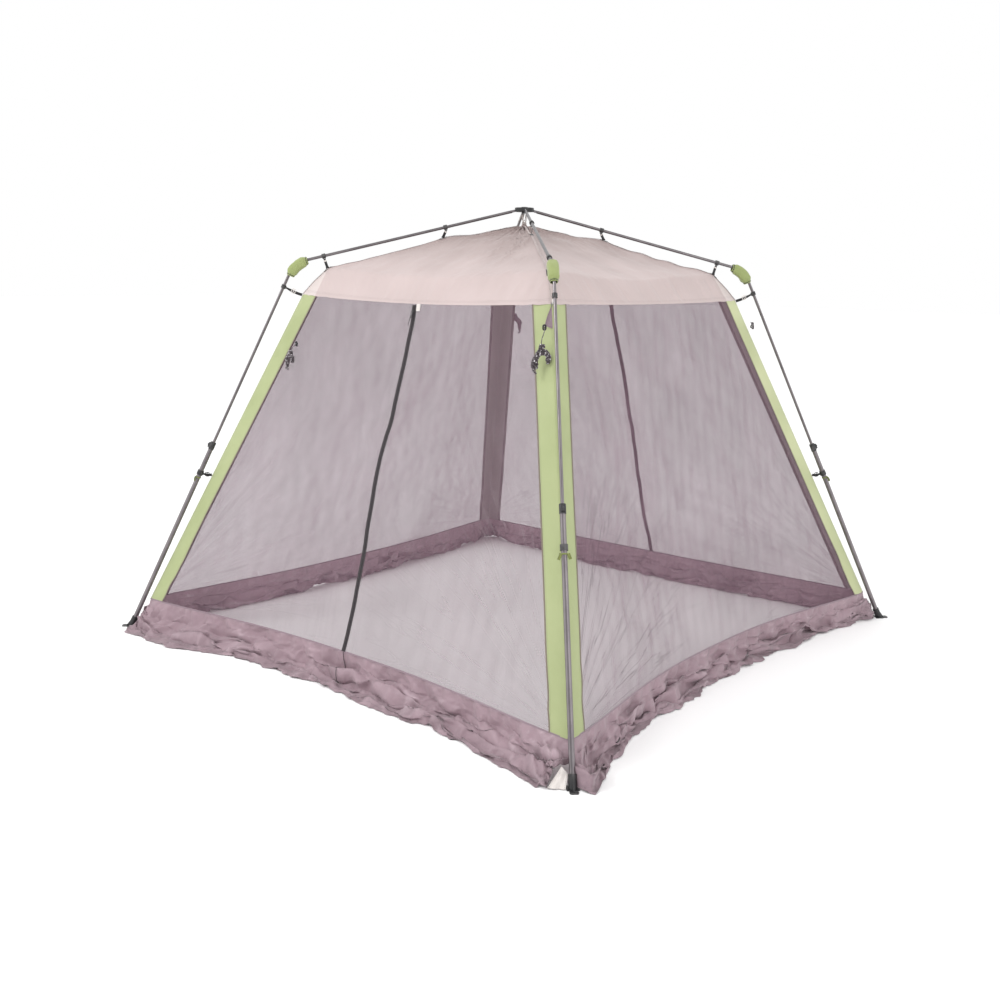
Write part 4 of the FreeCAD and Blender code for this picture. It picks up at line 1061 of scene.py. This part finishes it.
# ------------------------------------------------------------------ ground skirt
def skirt_flat(i, x, g):
    # g 0 at the netting's hem, 1 at the skirt's edge on the ground
    x, g = np.broadcast_arrays(np.asarray(x, float), np.asarray(g, float))
    w = WALL[i]
    top = wall_flat(i, x, np.ones_like(x)) + np.array([0, 0, -.001])
    out = interp(HEM[i], x)
    run = 1.5 * x
    if i == 1:
        # the tip that stands out past the front foot
        run = run - .075 * np.exp(-((x + .975) / .016) ** 2)
    low = np.stack([run, -out, np.full(x.shape, .004)], -1)
    if i == 0:
        # the free edge of the slit beside the front foot
        slit = smooth(x, .955, 1.0)[..., None]
        low = low * (1 - slit) + np.array([1.449, -1.600, .004]) * slit
    low = turned(low, w["turn"])
    # the cloth falls first and then lies out over the ground, behind the leg at the corners
    q = np.stack([g ** 1.15, g ** 1.15, 1 - (1 - g) ** 1.7], -1)
    p = top + (low - top) * q
    if i == 0:
        # closed behind the leg above the slit
        shut = turned(np.array([1.5, -1.5, .004]), 0)
        seam = top + (shut - top) * q
        k = (smooth(x, .955, 1.0) * (1 - smooth(g, .44, .62)))[..., None]
        p = p * (1 - k) + seam * k
    return p


SC, SR = ((140, 17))
XS = np.linspace(-1, 1, SC + 1)
base = np.stack([skirt_flat(i, XS[None, :], np.linspace(0, 1, SR)[:, None]) for i in range(4)])      # wall, row, column
PER = SC + 1
# drape: longer than the room it has, so it buckles into folds over the ground
start = base.copy()
gg = np.linspace(0, 1, SR)[None, :, None]
run = (np.arange(PER) * (2.95 / SC))[None, None, :] + np.arange(4)[:, None, None] * 3.1
flat = np.stack(np.broadcast_arrays(run, gg * .29), -1)
start[..., 2] += .050 * smooth(gg, .1, .55) * np.sin(np.pi * gg) ** .5 * (.75 + .6 * waves(flat * [.35, 2.0], 400, .15)) + .006
outdir = start.copy()
outdir[..., 2] = 0
outdir /= np.linalg.norm(outdir, axis=-1, keepdims=True)
start += outdir * ((.020 * waves(flat * [.4, 2.4], 402, .13) + .010 * waves(flat, 401, .16)) * smooth(gg, 0, .6) * smooth(1 - np.abs(XS), 0, .04)[None, None, :])[..., None]
f = np.concatenate([grid_faces(SR, PER, base=k * SR * PER) for k in range(4)])
me = bpy.data.meshes.new("drape")
me.from_pydata(start.reshape(-1, 3).tolist(), [], f.tolist())
ob = bpy.data.objects.new("drape", me)
SCENE.collection.objects.link(ob)
vg = ob.vertex_groups.new(name="pin")
for k in range(4):
    vg.add([k * SR * PER + c for c in range(PER)], 1.0, "REPLACE")
    vg.add([k * SR * PER + r * PER + c for r in range(1, SR) for c in (0, SC)], 1.0, "REPLACE")
ground = bpy.data.meshes.new("drape_ground")
ground.from_pydata([(-4, -4, 0), (4, -4, 0), (4, 4, 0), (-4, 4, 0)], [], [(0, 1, 2, 3)])
gob = bpy.data.objects.new("drape_ground", ground)
SCENE.collection.objects.link(gob)
gob.modifiers.new("hit", "COLLISION")
gob.collision.thickness_outer = .003
md = ob.modifiers.new("drape", "CLOTH")
md.settings.quality = 6
md.settings.mass = .08
md.settings.tension_stiffness = 12
md.settings.compression_stiffness = 12
md.settings.shear_stiffness = 4
md.settings.bending_stiffness = .05
md.settings.air_damping = 3
md.settings.vertex_group_mass = "pin"
md.settings.shrink_min = -.025
md.settings.shrink_max = -.025
md.collision_settings.distance_min = .003
md.collision_settings.use_self_collision = False
md.point_cache.frame_start = 1
md.point_cache.frame_end = 26
for fr in range(1, 27):
    SCENE.frame_set(fr)
dg = bpy.context.evaluated_depsgraph_get()
got = np.zeros(len(me.vertices) * 3, np.float32)
ev = ob.evaluated_get(dg).to_mesh()
ev.vertices.foreach_get("co", got)
got = got.reshape(base.shape).astype(float)
ob.evaluated_get(dg).to_mesh_clear()
move = got - base
far = np.linalg.norm(move, axis=-1, keepdims=True)
got = base + move * np.minimum(1, .070 / np.maximum(far, 1e-9))
got[:, 0] = base[:, 0]
base = got
bpy.data.objects.remove(ob)
bpy.data.objects.remove(gob)
SCENE.frame_set(1)

# refine to twice the columns and rows, then the small creases
def refine(p):
    # four-point interpolation between neighbours, along the columns and then down the rows
    for ax in (1, 0):
        p = np.moveaxis(p, ax, 0)
        ends = np.concatenate([2 * p[:1] - p[1:2], p, 2 * p[-1:] - p[-2:-1]])
        out = np.zeros((2 * len(p) - 1,) + p.shape[1:])
        out[::2] = p
        out[1::2] = (9 * (p[:-1] + p[1:]) - ends[:-3] - ends[3:]) / 16
        p = np.moveaxis(out, 0, ax)
    return p


for i in range(4):
    fine = refine(base[i])
    rows_, cols_ = fine.shape[:2]
    gg = np.linspace(0, 1, rows_)[:, None] * np.ones((1, cols_))
    along = (np.arange(cols_)[None, :] * (2.95 / (cols_ - 1)) + i * 3.1) * np.ones((rows_, 1))
    flat = np.stack([along, gg * .29], -1)
    xs = np.linspace(-1, 1, cols_)[None, :] * np.ones((rows_, 1))
    corner = 1 - np.abs(xs)
    free = smooth(gg, .02, .30) * smooth(corner, .0, .05)
    # long folds that run along the hem, with facets between them
    lean = .10 * waves(flat, 507, .6)
    slant = flat + np.stack([0 * gg, lean], -1)
    k1 = creases(slant * [.42, 1.55], 501, .105, 4, .28) - .33
    k2 = creases(flat * [.85, 1.35], 502, .055, 4, .25) - .33
    k4 = creases(slant * [.26, 1.0], 506, .15, 3, .2) - .33
    k3 = waves(flat, 503, .22)
    lift = (.020 * k1 + .011 * k2 + .026 * k4 * smooth(gg, .15, .55) + .010 * k3 * .5) * free
    # pleats that fan from each foot
    fang = np.arctan2((1 - gg) * .25 + .02, corner * 1.45 + .02)
    lift = lift + .012 * np.sin(fang * 34 + along * 1.5) * np.exp(-corner * 1.45 / .26) * smooth(gg, .05, .3) * smooth(corner, 0, .03)
    outdir = fine.copy()
    outdir[..., 2] = 0
    outdir /= np.linalg.norm(outdir, axis=-1, keepdims=True)
    fine[..., 2] += lift * .9
    fine += outdir * (lift * .6 + (.007 * waves(flat, 504, .17) + .004 * waves(flat, 508, .05)) * smooth(gg, .6, 1) * smooth(corner, 0, .05))[..., None]
    fine[..., 2] = np.maximum(fine[..., 2], .0032 + .0015 * (1 + waves(flat, 505, .07)))
    fine[..., :2] = np.clip(fine[..., :2], -1.662, 1.662)
    ref = outdir * .6 + np.array([0, 0, .8])
    nn = np.cross(np.gradient(fine, axis=1), np.gradient(fine, axis=0))
    nn /= np.maximum(np.linalg.norm(nn, axis=-1, keepdims=True), 1e-12)
    if (nn * ref).sum() < 0:
        nn = -nn
    # painted highlight: the skirt painted paler on its raised fold ridges
    painted_light = smooth(k1 + .6 * k2 + .5 * k4, -.1, .5) * .75
    dirt = smooth(gg, .55, 1.0) * .5
    mid_ = cols_ // 2
    if i in (0, 2):
        # the zip's drawcord, loose over the skirt
        t_ = slice(0, int(rows_ * .62))
        o = pipe(f"zip_cord_{i}", fine[t_, mid_] + nn[t_, mid_] * .0022, .0014, DARKCORD, 8, up=(0, 0, 1))
        settle(o, ORDER[i], "lower", wall_axis(i, 1))
    for s, a, cols in ((1, ORDER[i], slice(mid_, cols_)), (-1, ORDER[i - 1], slice(0, mid_ + 1))):
        e = np.maximum((1 - gg[:, cols]) * .29, 0)
        o = shell(f"skirt_{i}_{a}", fine[:, cols], nn[:, cols], .0008, SKIRT, uv=flat[:, cols], attrs={"edge": e, "painted_light": painted_light[:, cols], "dirt": dirt[:, cols]})
        settle(o, a, "lower", wall_axis(i, s), replace=["ground_skirt"])

# pale inner side of the cloth, folded out in the slit beside the front foot
g = np.linspace(0, 1, 17)[:, None]
r_ = np.linspace(0, 1, 13)[None, :]
apex = np.array([1.472, -1.532, .082])
left_ = apex + (np.array([1.452, -1.594, .006]) - apex) * g[..., None]
right_ = apex + (np.array([1.4905, -1.513, .050]) - apex) * np.minimum(g * 1.7, 1)[..., None] + (np.array([1.512, -1.556, .006]) - np.array([1.4905, -1.513, .050])) * np.maximum(g * 1.7 - 1, 0)[..., None] / .7
p = left_ + (right_ - left_) * r_[..., None]
fold_ = .006 * np.sin(r_ * 9 + g * 5) * np.sin(np.pi * r_) * g + .003 * np.sin(r_ * 21 - g * 8) * g * np.sin(np.pi * r_)
p = p + fold_[..., None] * unit([.3, -1, .5])
p[..., 2] = np.maximum(p[..., 2], .0045)
n = grid_normals(p, unit([.4, -1, .6]))
o = shell("corner_flap_front", p, n, .0008, PALE, uv=np.stack(np.broadcast_arrays(r_ * .08, g * .09), -1), attrs={"edge": np.minimum(r_, 1 - r_) * .05 + g * 0})
settle(o, "front", "lower", None)

# ------------------------------------------------------------------ stage, light, camera
def stage_material():
    m = Mat("studio_floor")
    n = m.noise(.8, 3.0, .5)
    col = m.mix(m.math("MULTIPLY", n, .2), (.96, .96, .96, 1), (.94, .94, .94, 1))
    return m.out(m("BsdfPrincipled", {"Base Color": col, "Roughness": .95, "Specular IOR Level": .1}))


floor_me = bpy.data.meshes.new("studio_floor")
R = 60.0
floor_me.from_pydata([(-R, -R, 0), (R, -R, 0), (R, R, 0), (-R, R, 0)], [], [(0, 1, 2, 3)])
floor_me.materials.append(stage_material())
floor = bpy.data.objects.new("studio_floor", floor_me)
SCENE.collection.objects.link(floor)

world = bpy.data.worlds.new("studio")
SCENE.world = world
world.use_nodes = True
nt = world.node_tree
nt.nodes.clear()
out = nt.nodes.new("ShaderNodeOutputWorld")
bg1 = nt.nodes.new("ShaderNodeBackground")
bg1.inputs[0].default_value = (1, 1, 1, 1)
bg1.inputs[1].default_value = 1.0
bg2 = nt.nodes.new("ShaderNodeBackground")
bg2.inputs[0].default_value = (1.0, 1.0, 1.0, 1)
bg2.inputs[1].default_value = 1.16
lp = nt.nodes.new("ShaderNodeLightPath")
mx = nt.nodes.new("ShaderNodeMixShader")
nt.links.new(lp.outputs["Is Camera Ray"], mx.inputs[0])
nt.links.new(bg2.outputs[0], mx.inputs[1])
nt.links.new(bg1.outputs[0], mx.inputs[2])
nt.links.new(mx.outputs[0], out.inputs[0])


def area(name, at, look, size, power):
    d = bpy.data.lights.new(name, "AREA")
    d.shape = "DISK"
    d.size = size
    d.energy = power
    o = bpy.data.objects.new(name, d)
    SCENE.collection.objects.link(o)
    o.location = at
    o.rotation_mode = "QUATERNION"
    o.rotation_quaternion = (Vector(look) - Vector(at)).to_track_quat("-Z", "Y")
    return o


area("key", (-3.5, -7.5, 7.5), (0, 0, .8), 4.0, 360)
area("fill", (8.0, -3.0, 4.5), (0, 0, 1.0), 4.0, 110)

cam_data = bpy.data.cameras.new("camera")
cam_data.lens = 40.87
cam_data.sensor_width = 36.0
cam = bpy.data.objects.new("camera", cam_data)
SCENE.collection.objects.link(cam)
az, el, roll = (math.radians(v) for v in (39.748, 11.438, .952))
fwd = Vector((-math.sin(az) * math.cos(el), math.cos(az) * math.cos(el), -math.sin(el)))
rt = Vector((math.cos(az), math.sin(az), 0))
up = rt.cross(fwd)
r2 = rt * math.cos(roll) + up * math.sin(roll)
u2 = up * math.cos(roll) - rt * math.sin(roll)
cam.matrix_world = Matrix(((r2.x, u2.x, -fwd.x, 3.918), (r2.y, u2.y, -fwd.y, -4.875), (r2.z, u2.z, -fwd.z, 1.974), (0, 0, 0, 1)))
SCENE.camera = cam
SCENE.view_settings.view_transform = "Standard"
SCENE.view_settings.look = "None"
